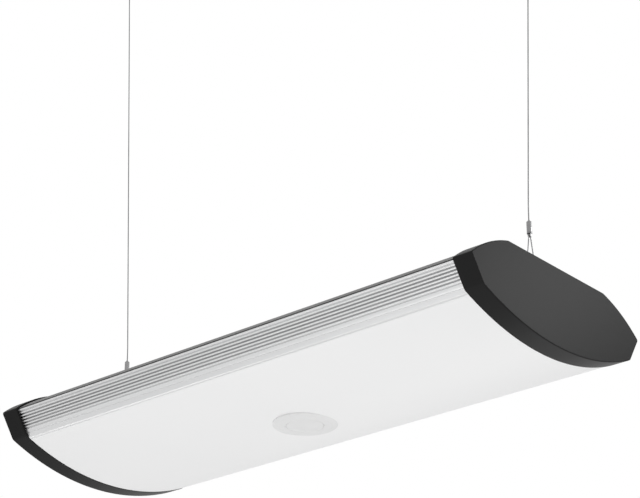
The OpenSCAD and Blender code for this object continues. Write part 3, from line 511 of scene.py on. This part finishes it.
def anchor(side, s):
    at = (s * ANCHOR_SPAN / 2, 0, 0)
    hollow_r = SPIGOT_R - SPIGOT_WALL
    base = [(ANCHOR_R, 0), (ANCHOR_R, -BASE_T), (SPIGOT_R, -BASE_T), (SPIGOT_R, SPIGOT_LOW), (hollow_r, SPIGOT_LOW),
            (hollow_r, -BASE_T - 1), (ANCHOR_HOLE_R, -BASE_T - 1), (ANCHOR_HOLE_R, 0)]
    rings = lathe(rounded(base, [0.15, 0.4, 0.1, 0.3, 0.1, 0.1, 0.1, 0.2]), 72, at)
    base_piece = mesh_piece("anchor_flange_" + side, *loft(rings, loop=True))
    place(base_piece, "ceiling_mounts", "chrome", "anchor_base_" + side)

    seat = BALL_R + BALL_GAP
    seat_arc = [(seat * math.cos(a), BALL_Z + seat * math.sin(a))
                for a in [math.radians(d) for d in (0, -12, -24, -36, -45)]]
    top = -BASE_T - THREAD_FIT
    outer = [(ANCHOR_R, top), (ANCHOR_R, CAP_LOW)]
    bore = [(CAP_MOUTH_R, CAP_LOW), (CAP_NECK_R, BALL_Z - CAP_NECK_UP)] + list(reversed(seat_arc)) + [
        (BALL_R + BALL_ROOM, BALL_Z), (BALL_R + BALL_ROOM, SPIGOT_LOW - 1), (SPIGOT_R + THREAD_FIT, SPIGOT_LOW - 1),
        (SPIGOT_R + THREAD_FIT, top)]
    rounds = [0.3, 1.4, 0.5] + [0] * (len(bore) - 2) + [0.1]
    profile = rounded(outer + bore, rounds, 5)
    # The cap's wall in short steps, so that its grip band can be knurled
    wall = [i for i, p in enumerate(profile) if abs(p[0] - ANCHOR_R) < 1e-6]
    first, last = min(wall), max(wall)
    band = [(ANCHOR_R, z) for z in (KNURL_TOP, KNURL_TOP - KNURL_END, KNURL_LOW + KNURL_END, KNURL_LOW)]
    profile = profile[:first + 1] + band + profile[last:]

    def knurl(r, z, a):
        if r > ANCHOR_R - 0.01 and KNURL_LOW + KNURL_END / 2 < z < KNURL_TOP - KNURL_END / 2:
            return r - KNURL_DEEP * abs(math.sin(a * KNURL_N / 2)), z
        return r, z

    rings = lathe(profile, 360, at, knurl)
    cap_piece = mesh_piece("anchor_shell_" + side, *loft(rings, loop=True), smooth=35)
    place(cap_piece, "ceiling_mounts", "chrome", "anchor_cap_" + side)
    return base_piece, cap_piece


for side, s in SIDES:
    base_piece, cap_piece = anchor(side, s)


# ---- Grippers and hooks ----

GRIP_BORE, NOZZLE_R, PLUG_T, EYE_DROP, BEND_R = 1.9, 1.25, 1.0, 2.3, 1.5
CONE_LOW, CONE_TOP = 6.2, 8.6              # the shell's inside narrows between these heights
COLLAR_LOW, COLLAR_TOP = 4.6, 5.2          # foot of the release sleeve


def gripper(side, s):
    at = (s * SPAN / 2, 0, GRIP_Z)
    mouth_r = NOZZLE_R + 0.1
    shell = [(GRIP_R, 0), (GRIP_R, GRIP_LEN), (mouth_r, GRIP_LEN), (mouth_r, CONE_TOP), (GRIP_BORE, CONE_LOW),
             (GRIP_BORE, 0)]
    rings = lathe(rounded(shell, [0.25, 0.9, 0.1, 0, 0, 0.1], 5), 64, at)
    piece = mesh_piece("gripper_shell_" + side, *loft(rings, loop=True))
    place(piece, side + "_gripper", "chrome", "gripper_body_" + side)

    cable_way, collar_r = CABLE_R + FIT, GRIP_BORE - FIT
    top = GRIP_LEN + NOZZLE_UP
    sleeve = [(cable_way, COLLAR_LOW), (collar_r, COLLAR_LOW), (collar_r, COLLAR_TOP), (NOZZLE_R, COLLAR_TOP),
              (NOZZLE_R, top), (cable_way, top)]
    rings = lathe(rounded(sleeve, [0, 0.1, 0.1, 0, 0.35, 0.1], 4), 48, at)
    piece = mesh_piece("release_sleeve_" + side, *loft(rings, loop=True))
    place(piece, side + "_release", "chrome", "gripper_plunger_" + side)


def tube(route, radius, n, side_way):
    """A round wire along a route, its ends domed."""
    rings = []
    count = len(route)
    for i, p in enumerate(route):
        t = (route[min(i + 1, count - 1)] - route[max(i - 1, 0)]).normalized()
        u = t.cross(side_way).normalized()
        v = t.cross(u)
        spots = [(0.0, 1.0)]
        if i == 0:
            spots = [(-0.8, 0.45), (-0.35, 0.85), (0.0, 1.0)]
        elif i == count - 1:
            spots = [(0.0, 1.0), (0.35, 0.85), (0.8, 0.45)]
        for along, size in spots:
            centre = p + t * (along * radius * 0.6)
            rings.append([tuple(centre + radius * size * (math.cos(2 * math.pi * k / n) * u
                                                          + math.sin(2 * math.pi * k / n) * v)) for k in range(n)])
    return loft(rings)


def hook(side, s):
    """One bent wire from foot to foot, over the gripper's eye."""
    x = s * SPAN / 2
    eye_z = GRIP_Z - PLUG_T - EYE_DROP
    foot_z = -DROP - SKIN - COVER_T - HOOK_R - FIT
    half = [Vector((x, HOOK_HALF + BEND_R + FOOT_LEN * (1 - k / 4), foot_z)) for k in range(4)]
    half += [Vector((x, HOOK_HALF + BEND_R + BEND_R * math.cos(a), foot_z + BEND_R + BEND_R * math.sin(a)))
             for a in [math.radians(270 - 10 * k) for k in range(10)]]
    low, high = half[-1], Vector((x, BEND_R, eye_z - BEND_R))
    half += [low.lerp(high, k / 8) for k in range(1, 8)]
    top = [Vector((x, BEND_R * math.cos(a), eye_z - BEND_R + BEND_R * math.sin(a)))
           for a in [math.radians(15 * k) for k in range(13)]]
    other = [Vector((x, -p[1], p[2])) for p in reversed(half)]
    piece = mesh_piece("hook_wire_" + side, *tube(half + top + other, HOOK_R, 20, Vector((1, 0, 0))), smooth=60)
    place(piece, side + "_gripper", "steel", "hook_" + side)


for side, s in SIDES:
    gripper(side, s)
    hook(side, s)


# ---- End caps ----

def end_cap(side, s):
    edge, rim = 0.8, 0.35                  # rounding of the outer edge and of the skirt's rim
    # Rings from the inner face out over the rim and round to the outer face, as (x, moved in by)
    spots = [(HALF - CAP_FACE, CAP_WALL), (SKIRT_X + rim, CAP_WALL)]
    spots += [(SKIRT_X + rim * (1 - math.sin(a)), CAP_WALL - rim * (1 - math.cos(a)))
              for a in [math.radians(d) for d in (30, 60, 90)]]
    spots += [(SKIRT_X + rim * (1 - math.cos(a)), rim * (1 - math.sin(a)))
              for a in [math.radians(d) for d in (0, 30, 60, 90)]]
    spots += [(SKIRT_X + 1.5, 0), (HALF - edge - 0.6, 0)]
    spots += [(HALF - edge * (1 - math.sin(a)), edge * (1 - math.cos(a)))
              for a in [math.radians(d) for d in (0, 18, 36, 54, 72, 90)]]
    spots += [(HALF, edge + 0.5)]
    rings = [section(s * x, cap_outline(d)) for x, d in spots]
    piece = mesh_piece("cap_" + side, *loft(rings), at_lamp=True)
    place(piece, "fixture", "black_moulding", "end_cap_" + side)


for side, s in SIDES:
    end_cap(side, s)


# ---- Side rails ----

RAIL_UPPER_R, RAIL_LOWER_R = 0.35, 0.9
GROOVE_TIP_R, GROOVE_FOOT_R = 0.35, 0.3
SHADE_FROM, SHADE_OVER = 0.3, 0.9          # depth at which a groove's painted shade begins, and over which it sets in
FINGER_T, SHELF_W, LEDGE_W, LEDGE_T = 1.6, 15.0, 12.0, 2.0
# Section of the fine line that sets off the plain foot of the side, as (along, deep)
FINE_LINE = ((-0.65, 0.0), (-0.42, 0.06), (-0.25, 0.25), (-0.1, 0.4), (0.1, 0.4), (0.25, 0.2), (0.4, 0.0))


def on_side(along, out):
    """A point by its way down the side from the upper corner, and out of it."""
    return body_upper + side_dir * along + side_out * out


def groove_depth(i):
    """The outermost grooves are shallow, the next ones deeper and the rest deep."""
    k = min(i, GROOVE_N - 1 - i)
    return GROOVE_SHALLOW if k == 0 else (GROOVE_SHALLOW + GROOVE_DEEP) / 2 if k == 1 else GROOVE_DEEP


def shoulder_point(d, y=None, z=None):
    """The point of the shoulder, moved in by d, at a given y or z."""
    r = SHOULDER_R - d
    if y is not None:
        return Vector((y, shoulder_c[1] + math.sqrt(r * r - (y - shoulder_c[0]) ** 2)))
    return Vector((shoulder_c[0] + math.sqrt(r * r - (z - shoulder_c[1]) ** 2), z))


def inside_y(z, wall):
    """Where the inside of a wall of that thickness lies at height z."""
    return body_upper[0] + (z - body_upper[1]) * side_dir[0] / side_dir[1] - wall / side_out[0]


def bow_point(r, y):
    return Vector((y, bow_z(y, r)))


def groove_line(i):
    """One groove of the side, with its tips and its foot rounded."""
    mid, depth = GROOVE_START + i * GROOVE_PITCH, groove_depth(i)
    a, b = mid - GROOVE_W / 2, mid + GROOVE_W / 2
    r, f = min(GROOVE_TIP_R, depth * 0.5), min(GROOVE_FOOT_R, depth * 0.4)
    tip = [math.pi / 2 * k / 3 for k in range(4)]
    foot = [math.pi / 2 * k / 2 for k in range(3)]
    line = [on_side(a - r + r * math.sin(t), -r + r * math.cos(t)) for t in tip]
    line += [on_side(a + f - f * math.cos(t), -depth + f - f * math.sin(t)) for t in foot]
    line += [on_side(b - f + f * math.sin(t), -depth + f - f * math.cos(t)) for t in foot]
    line += [on_side(b + r - r * math.cos(t), -r + r * math.sin(t)) for t in tip]
    return line


def rail_path(bow_in):
    """The rail's section on the far side; bow_in moves the lip in, where the rail stands inside a cap."""
    top = SKIN + COVER_T + THREAD_FIT
    shelf_in = body_upper[0] - SHELF_W
    edge_z = COVER_EDGE_Z - THREAD_FIT
    path = [shoulder_point(top, y=y) for y in (shelf_in, shelf_in + 5, shelf_in + 9)]
    path += [shoulder_point(top, z=edge_z), shoulder_point(SKIN + 0.15, z=edge_z),
             shoulder_point(SKIN, z=edge_z - 0.15)]
    # The side, from its eased upper corner over the grooves and the fine line to the rounded lower corner
    centre = upper_at(SKIN + RAIL_UPPER_R)
    path += arc(centre, RAIL_UPPER_R, angle_of(centre - shoulder_c), angle_of(side_out), 4)
    for i in range(GROOVE_N):
        path += groove_line(i)
    path += [on_side(LINE_AT + along, -deep) for along, deep in FINE_LINE]
    centre = lower_at(SKIN + RAIL_LOWER_R, bow_in + RAIL_LOWER_R)
    path += arc(centre, RAIL_LOWER_R, angle_of(side_out), angle_of(centre - bow_c), 6)
    # The lip, the channel for the lens's tongue and the wall over it
    lip_r = BOW_R - bow_in
    path += [bow_point(lip_r, y) for y in (lip_y + 1.0, lip_y + 0.2)]
    path += [bow_point(lip_r - 0.06, lip_y + 0.05), bow_point(lip_r - 0.15, lip_y)]
    channel = BODY_BOW_R - LIP_T
    finger = BODY_BOW_R - LIP_T - TONGUE_T - 2 * FIT
    seat_y = lip_y + TONGUE_W + 2 * FIT
    path += [bow_point(channel, lip_y), bow_point(channel, seat_y)]
    over = finger - FINGER_T
    path += [bow_point(finger, seat_y), bow_point(finger, lip_y), bow_point(over, lip_y),
             bow_point(over, inside_y(bow_z(lip_y, over), RAIL_FOOT))]
    # The ledge under the tray, and the inside of the upper corner
    ledge_top = -TRAY_DROP - TRAY_T
    ledge_low = ledge_top - LEDGE_T
    ledge_y = inside_y(ledge_top, RAIL_WALL) - LEDGE_W
    path += [Vector((inside_y(ledge_low, RAIL_FOOT), ledge_low))]
    path += [Vector((ledge_y, ledge_low)), Vector((ledge_y, ledge_top)),
             Vector((inside_y(ledge_top, RAIL_WALL), ledge_top))]
    under = SKIN + COVER_T + 2
    corner_z = body_upper[1] - 1.5
    path += [Vector((inside_y(corner_z - 3, RAIL_WALL), corner_z - 3))]
    path += [shoulder_point(under, y=y) for y in (shelf_in + 11, shelf_in + 9, shelf_in + 5, shelf_in)]
    return path


def paint_groove_shade(piece):
    """A value on each point for the painted groove shade: 0 on the outer surfaces, rising to 1 down in the grooves."""
    # Painted shade: the aluminium material darkens its colour by this value
    groove_shade_marks = piece.data.attributes.new("groove", "FLOAT", "POINT")
    for i, vertex in enumerate(piece.data.vertices):
        y, z = abs(vertex.co.y) / MM, vertex.co.z / MM + DROP
        p = Vector((y, z)) - body_upper
        along, depth = p.dot(side_dir), -p.dot(side_out)
        inside = GROOVE_START - GROOVE_W < along < GROOVE_START + GROOVE_N * GROOVE_PITCH
        if inside and depth < GROOVE_DEEP + 0.1:
            groove_shade_marks.data[i].value = min(max((depth - SHADE_FROM) / SHADE_OVER, 0), 1)


def rail(name, replaced, sign):
    end = SKIRT_X - BUTT_GAP
    rings = []
    for x, bow_in in ((-RAIL_HALF, SKIN), (-end, SKIN), (-end, BOW_INSET), (end, BOW_INSET), (end, SKIN),
                      (RAIL_HALF, SKIN)):
        rings.append(section(x, [Vector((sign * p[0], p[1])) for p in rail_path(bow_in)]))
    piece = mesh_piece(name, *loft(rings), smooth=28, at_lamp=True)
    paint_groove_shade(piece)
    place(piece, "fixture", "aluminium", replaced)


rail("finned_rail_near", "rail_near", -1)
rail("finned_rail_far", "rail_far", 1)


# ---- Cutting holes ----

def cut(piece, cutters):
    """Cuts the cutters' shapes out of a piece and drops them."""
    for cutter in cutters:
        modifier = piece.modifiers.new("cut", "BOOLEAN")
        modifier.operation = "DIFFERENCE"
        modifier.solver = "EXACT"
        modifier.object = cutter
    bpy.context.view_layer.update()
    evaluated = piece.evaluated_get(bpy.context.evaluated_depsgraph_get())
    mesh = bpy.data.meshes.new_from_object(evaluated)
    piece.modifiers.clear()
    mesh.set_sharp_from_angle(angle=math.radians(30))
    old = piece.data
    piece.data = mesh
    bpy.data.meshes.remove(old)
    for cutter in cutters:
        bpy.data.objects.remove(cutter)


def hole_shape(x, y, z0, z1, radius=None, size=None):
    """A shape to cut with, from z0 to z1: round, or a slot of the given size with rounded corners."""
    if radius:
        outline_xy = [(x + radius * math.cos(a), y + radius * math.sin(a))
                      for a in [2 * math.pi * k / 64 for k in range(64)]]
    else:
        outline_xy = []
        for sx, sy, a0 in ((1, 1, 0), (-1, 1, 90), (-1, -1, 180), (1, -1, 270)):
            cx, cy = x + sx * (size[0] / 2 - SLOT_CORNER), y + sy * (size[1] / 2 - SLOT_CORNER)
            for k in range(5):
                a = math.radians(a0 + 90 * k / 4)
                outline_xy.append((cx + SLOT_CORNER * math.cos(a), cy + SLOT_CORNER * math.sin(a)))
    rings = [[(px, py, z0) for px, py in outline_xy], [(px, py, z1) for px, py in outline_xy]]
    return mesh_piece("cutter", *loft(rings), at_lamp=True)


# ---- Top cover ----

COVER_BEND_R = 1.5


def top_cover():
    def skin_line(d):
        """The cover's skin moved in by d, from one long edge to the other."""
        r = max(COVER_BEND_R - (d - SKIN), 0.3)
        cf = flat_at(d + r)
        last = shoulder_point(d, z=COVER_EDGE_Z)
        line = arc(cf, r, math.pi / 2, angle_of(cf - shoulder_c), 6)
        line += arc(shoulder_c, SHOULDER_R - d, angle_of(cf - shoulder_c), angle_of(last - shoulder_c), 30)[1:]
        return mirrored(line) + line

    def section_line(d, ease):
        """The sheet's section, with its long edges eased on the outer side."""
        outer, inner = skin_line(d), skin_line(SKIN + COVER_T)
        for k, way in ((0, 1), (-1, -1)):
            p, q = outer[k], inner[k]
            outer[k] = p + (q - p).normalized() * ease
            outer.insert(1 if k == 0 else len(outer) - 1, p + Vector((0, ease)))
        return outer + list(reversed(inner))

    low, high = section_line(SKIN, 0.1), section_line(SKIN - COVER_RISE, 0.25)
    end = SKIRT_X - BUTT_GAP
    rings = [section(x, low) for x in (-RAIL_HALF, -end)] + [section(x, high) for x in (-end, -end + 1, end - 1, end)]
    rings += [section(x, low) for x in (end, RAIL_HALF)]
    piece = mesh_piece("cover_sheet", *loft(rings), at_lamp=True)
    # Slots for the hooks, which lie off the lamp's middle, and their mirror image; and the inlet's hole
    z0, z1 = -SKIN - COVER_T - 1, -SKIN + COVER_RISE + 1
    cutters = [hole_shape(sx * x, sy * HOOK_HALF, z0, z1, size=SLOT_SIZE)
               for x in (SPAN / 2 - LAMP_OFFSET, SPAN / 2 + LAMP_OFFSET) for sx in (-1, 1) for sy in (-1, 1)]
    cutters.append(hole_shape(INLET_X, 0, z0, z1, radius=INLET_R + INLET_ROOM))
    cut(piece, cutters)
    place(piece, "fixture", "dark_sheet", "top_cover")


top_cover()


# ---- Lens ----

RIB_W = 4.0                                # the lens's thick edge, inside the lip
HOLE_GAP = 0.4


def lens():
    edge_y, rib_y = lip_y - FIT, lip_y - RIB_W
    tongue_y = lip_y + TONGUE_W
    r_in = BODY_BOW_R - LENS_T
    tongue_low, tongue_high = BODY_BOW_R - LIP_T - FIT, BODY_BOW_R - LIP_T - FIT - TONGUE_T
    # From the middle of the outer face, round the edge and its tongue, to the middle of the inner face
    half = [bow_point(BODY_BOW_R, edge_y * k / 40) for k in range(40)]
    half += [bow_point(BODY_BOW_R, edge_y - 0.7), bow_point(BODY_BOW_R - 0.06, edge_y - 0.35),
             bow_point(BODY_BOW_R - 0.22, edge_y - 0.12), bow_point(BODY_BOW_R - 0.5, edge_y)]
    half += [bow_point(tongue_low, edge_y), bow_point(tongue_low, tongue_y), bow_point(tongue_high, tongue_y),
             bow_point(tongue_high, rib_y), bow_point(r_in, rib_y)]
    half += [bow_point(r_in, rib_y * k / 40) for k in range(39, -1, -1)]
    loop_line = half + mirrored(half[1:-1])
    near = NECK_R + 6
    xs = (-LENS_HALF, -LENS_HALF + 1, -near, near, LENS_HALF - 1, LENS_HALF)
    piece = mesh_piece("lens_sheet", *loft([section(x, loop_line) for x in xs]), at_lamp=True)
    cut(piece, [hole_shape(0, 0, LENS_LOW - 5, LENS_LOW + 15, radius=NECK_R + HOLE_GAP)])
    place(piece, "fixture", "frosted_lens", "lens")


lens()


# ---- Sensor ----

RING_LOW = LENS_LOW - RING_T
NECK_TOP = LENS_LOW + 9.7
DOME_SEAT = 1.0
NOTCH_AT, NOTCH_HALF, NOTCH_DEEP = (219, 33), 2.2, 1.3      # two notches in the ring's inner edge, in degrees and mm
WINDOW_T, WINDOW_RIM = 1.0, 2.5                             # the window's wall over the dome and at its rim


def sensor_ring():
    """The bezel: its flange lies on the bowed lens, and its inner edge has two small notches."""
    notch_at = [math.radians(d) for d in NOTCH_AT]

    def shape(r, z, a):
        """Lays the flange on the bow, and sets the notches back."""
        if z == "lens":
            return r, bow_z(r * math.sin(a)) - 0.02
        if abs(r - (DOME_R + FIT)) < 0.31 and z < RING_LOW + DOME_SEAT - 0.01:
            for at in notch_at:
                off = (a - at + math.pi) % (2 * math.pi) - math.pi
                if abs(off) < math.radians(NOTCH_HALF):
                    return r + NOTCH_DEEP, z
        return r, z

    profile = [(SENSOR_R + 0.1, RING_LOW + DOME_SEAT), (DOME_R + FIT, RING_LOW + DOME_SEAT),
               (DOME_R + FIT, RING_LOW + 0.2), (DOME_R + FIT + 0.2, RING_LOW)]
    # The edge slopes out in a soft curve
    start = RING_R - RING_SLOPE - 1.5
    for k in range(9):
        t = k / 8
        profile.append((start + (RING_R - start) * t, RING_LOW + (RING_T + 0.1) * t * t * (3 - 2 * t)))
    profile += [(RING_R, "lens"), (NECK_R + 0.1, "lens"), (NECK_R, NECK_TOP), (SENSOR_R + 0.1, NECK_TOP)]
    rings = []
    for r, z in profile:
        ring = []
        for k in range(180):
            a = 2 * math.pi * k / 180
            rr, zz = shape(r, z, a)
            if r > NECK_R and z != "lens":
                zz = min(zz, bow_z(rr * math.sin(a)) - 0.05)
            ring.append((rr * math.cos(a), rr * math.sin(a), zz))
        rings.append(ring)
    piece = mesh_piece("sensor_ring", *loft(rings, loop=True), smooth=32, at_lamp=True)
    place(piece, "fixture", "sensor_white", "sensor_bezel")


def sensor_window():
    """The domed window: a shell that sits on a step inside the ring."""
    def dome_line(rim, rise, n):
        """A dome's (radius, z) points from its rim to its middle."""
        r = (rim * rim + rise * rise) / (2 * rise)
        return [(rim * (1 - i / n), -(math.sqrt(r * r - (rim * (1 - i / n)) ** 2) - (r - rise))) for i in range(n + 1)]

    seat_z, inner_rim, inner_rise = DOME_SEAT - THREAD_FIT, DOME_R - WINDOW_RIM, DOME_RISE - WINDOW_T
    outer = [(DOME_R, seat_z), (DOME_R, 0.25), (DOME_R - 0.12, 0.05)]
    outer += dome_line(DOME_R - 0.3, DOME_RISE, 22)[:-1] + [(0.02, -DOME_RISE)]
    inner = [(0.02, -inner_rise)] + list(reversed(dome_line(inner_rim, inner_rise, 14)[:-1])) + [(inner_rim, seat_z)]
    rings = lathe(outer + inner, 120, (0, 0, RING_LOW))
    piece = mesh_piece("sensor_window", *loft(rings, loop=True), smooth=32, at_lamp=True)
    place(piece, "fixture", "sensor_white", "sensor_dome")


sensor_ring()
sensor_window()


# ---- Carried-over parts: eased edges ----

EASE, EASE_SMALL = 0.3, 0.12
for name in ("gripper_plug_right", "gripper_plug_left", "inlet_bushing", "tray", "driver_case", "driver_base",
             "terminal_block", "sensor_nut", "end_plate_right", "end_plate_left", "sensor_body"):
    ease = nodes[name].modifiers.new("ease", "BEVEL")
    ease.width = (EASE_SMALL if name.startswith("gripper") else EASE) * MM
    ease.segments = 2
    ease.limit_method = "ANGLE"
    ease.angle_limit = math.radians(40)


# ---- Surroundings and light ----

WORLD_LEVEL = 0.62
FLOOR_HALF, FLOOR_Z = 12.0, -5.2           # in metres
FLOOR_SEEN = 0.6                           # share of plain white in what the camera and mirrors see of the floor


def world():
    """White behind the lamp and in what mirrors, and a plain level of light elsewhere."""
    made = bpy.data.worlds.new("world")
    made.use_nodes = True
    scene.world = made
    tree = made.node_tree
    seen = tree.nodes["Background"]
    seen.inputs["Color"].default_value = (1, 1, 1, 1)
    seen.inputs["Strength"].default_value = 1.0
    lit = node(tree, "ShaderNodeBackground")
    lit.inputs["Color"].default_value = (1, 1, 1, 1)
    lit.inputs["Strength"].default_value = WORLD_LEVEL
    path = node(tree, "ShaderNodeLightPath")
    first = node(tree, "ShaderNodeMath", operation="MAXIMUM")
    second = node(tree, "ShaderNodeMath", operation="MAXIMUM")
    mix = node(tree, "ShaderNodeMixShader")
    tree.links.new(path.outputs["Is Camera Ray"], first.inputs[0])
    tree.links.new(path.outputs["Is Glossy Ray"], first.inputs[1])
    tree.links.new(first.outputs[0], second.inputs[0])
    tree.links.new(path.outputs["Is Transmission Ray"], second.inputs[1])
    tree.links.new(second.outputs[0], mix.inputs["Fac"])
    tree.links.new(lit.outputs[0], mix.inputs[1])
    tree.links.new(seen.outputs[0], mix.inputs[2])
    tree.links.new(mix.outputs[0], tree.nodes["World Output"].inputs["Surface"])


def floor():
    mesh = bpy.data.meshes.new("floor")
    half, z = FLOOR_HALF, FLOOR_Z
    mesh.from_pydata([(-half, -half, z), (half, -half, z), (half, half, z), (-half, half, z)], [], [(0, 1, 2, 3)])
    obj = bpy.data.objects.new("floor", mesh)
    bpy.context.collection.objects.link(obj)
    material, tree, shader = new_material("floor_paint")
    fine = noise(tree, (40, 40, 40), 3.0)
    tree.links.new(ramp(tree, fine, grey(0.80), grey(0.83)), shader.inputs["Base Color"])
    shader.inputs["Roughness"].default_value = 0.8
    shader.inputs["Specular IOR Level"].default_value = 0.2
    # In mirrors and to the camera the floor is near white, and keeps a part of the shadow
    seen = node(tree, "ShaderNodeEmission", Strength=1.0)
    path = node(tree, "ShaderNodeLightPath")
    either = node(tree, "ShaderNodeMath", operation="MAXIMUM")
    share = node(tree, "ShaderNodeMath", operation="MULTIPLY")
    share.inputs[1].default_value = FLOOR_SEEN
    mix = node(tree, "ShaderNodeMixShader")
    tree.links.new(path.outputs["Is Camera Ray"], either.inputs[0])
    tree.links.new(path.outputs["Is Glossy Ray"], either.inputs[1])
    tree.links.new(either.outputs[0], share.inputs[0])
    tree.links.new(share.outputs[0], mix.inputs["Fac"])
    tree.links.new(shader.outputs[0], mix.inputs[1])
    tree.links.new(seen.outputs[0], mix.inputs[2])
    tree.links.new(mix.outputs[0], tree.nodes["Material Output"].inputs["Surface"])
    mesh.materials.append(material)


def area(name, at, towards, size, watts):
    """A rectangular lamp, in metres and watts."""
    data = bpy.data.lights.new(name, "AREA")
    data.shape = "RECTANGLE"
    data.size, data.size_y = size
    data.energy = watts
    obj = bpy.data.objects.new(name, data)
    bpy.context.collection.objects.link(obj)
    at, towards = Vector(at), Vector(towards)
    obj.visible_camera = False
    obj.location = at
    obj.rotation_mode = "QUATERNION"
    obj.rotation_quaternion = (towards - at).to_track_quat("-Z", "Y")


scene.view_settings.view_transform = "Standard"
world()
floor()
cap_face = Vector((LAMP_OFFSET + HALF, 0, -DROP - 42)) * MM
lamp = Vector((LAMP_OFFSET, 0, -DROP - 40)) * MM
area("glow", (0.668, 0.45, -0.33), cap_face, (0.26, 0.20), 1.35)
area("fill", (0.25, -0.75, -1.9), lamp, (0.9, 0.9), 8.5)
area("far", (-0.3, 1.1, -1.5), lamp, (0.9, 0.6), 2.4)
area("low_edge", (-1.2, -0.45, -2.1), lamp, (1.6, 0.25), 2.5)
area("high_edge", (-0.9, -0.46, 0.54), lamp, (1.4, 0.25), 0.8)
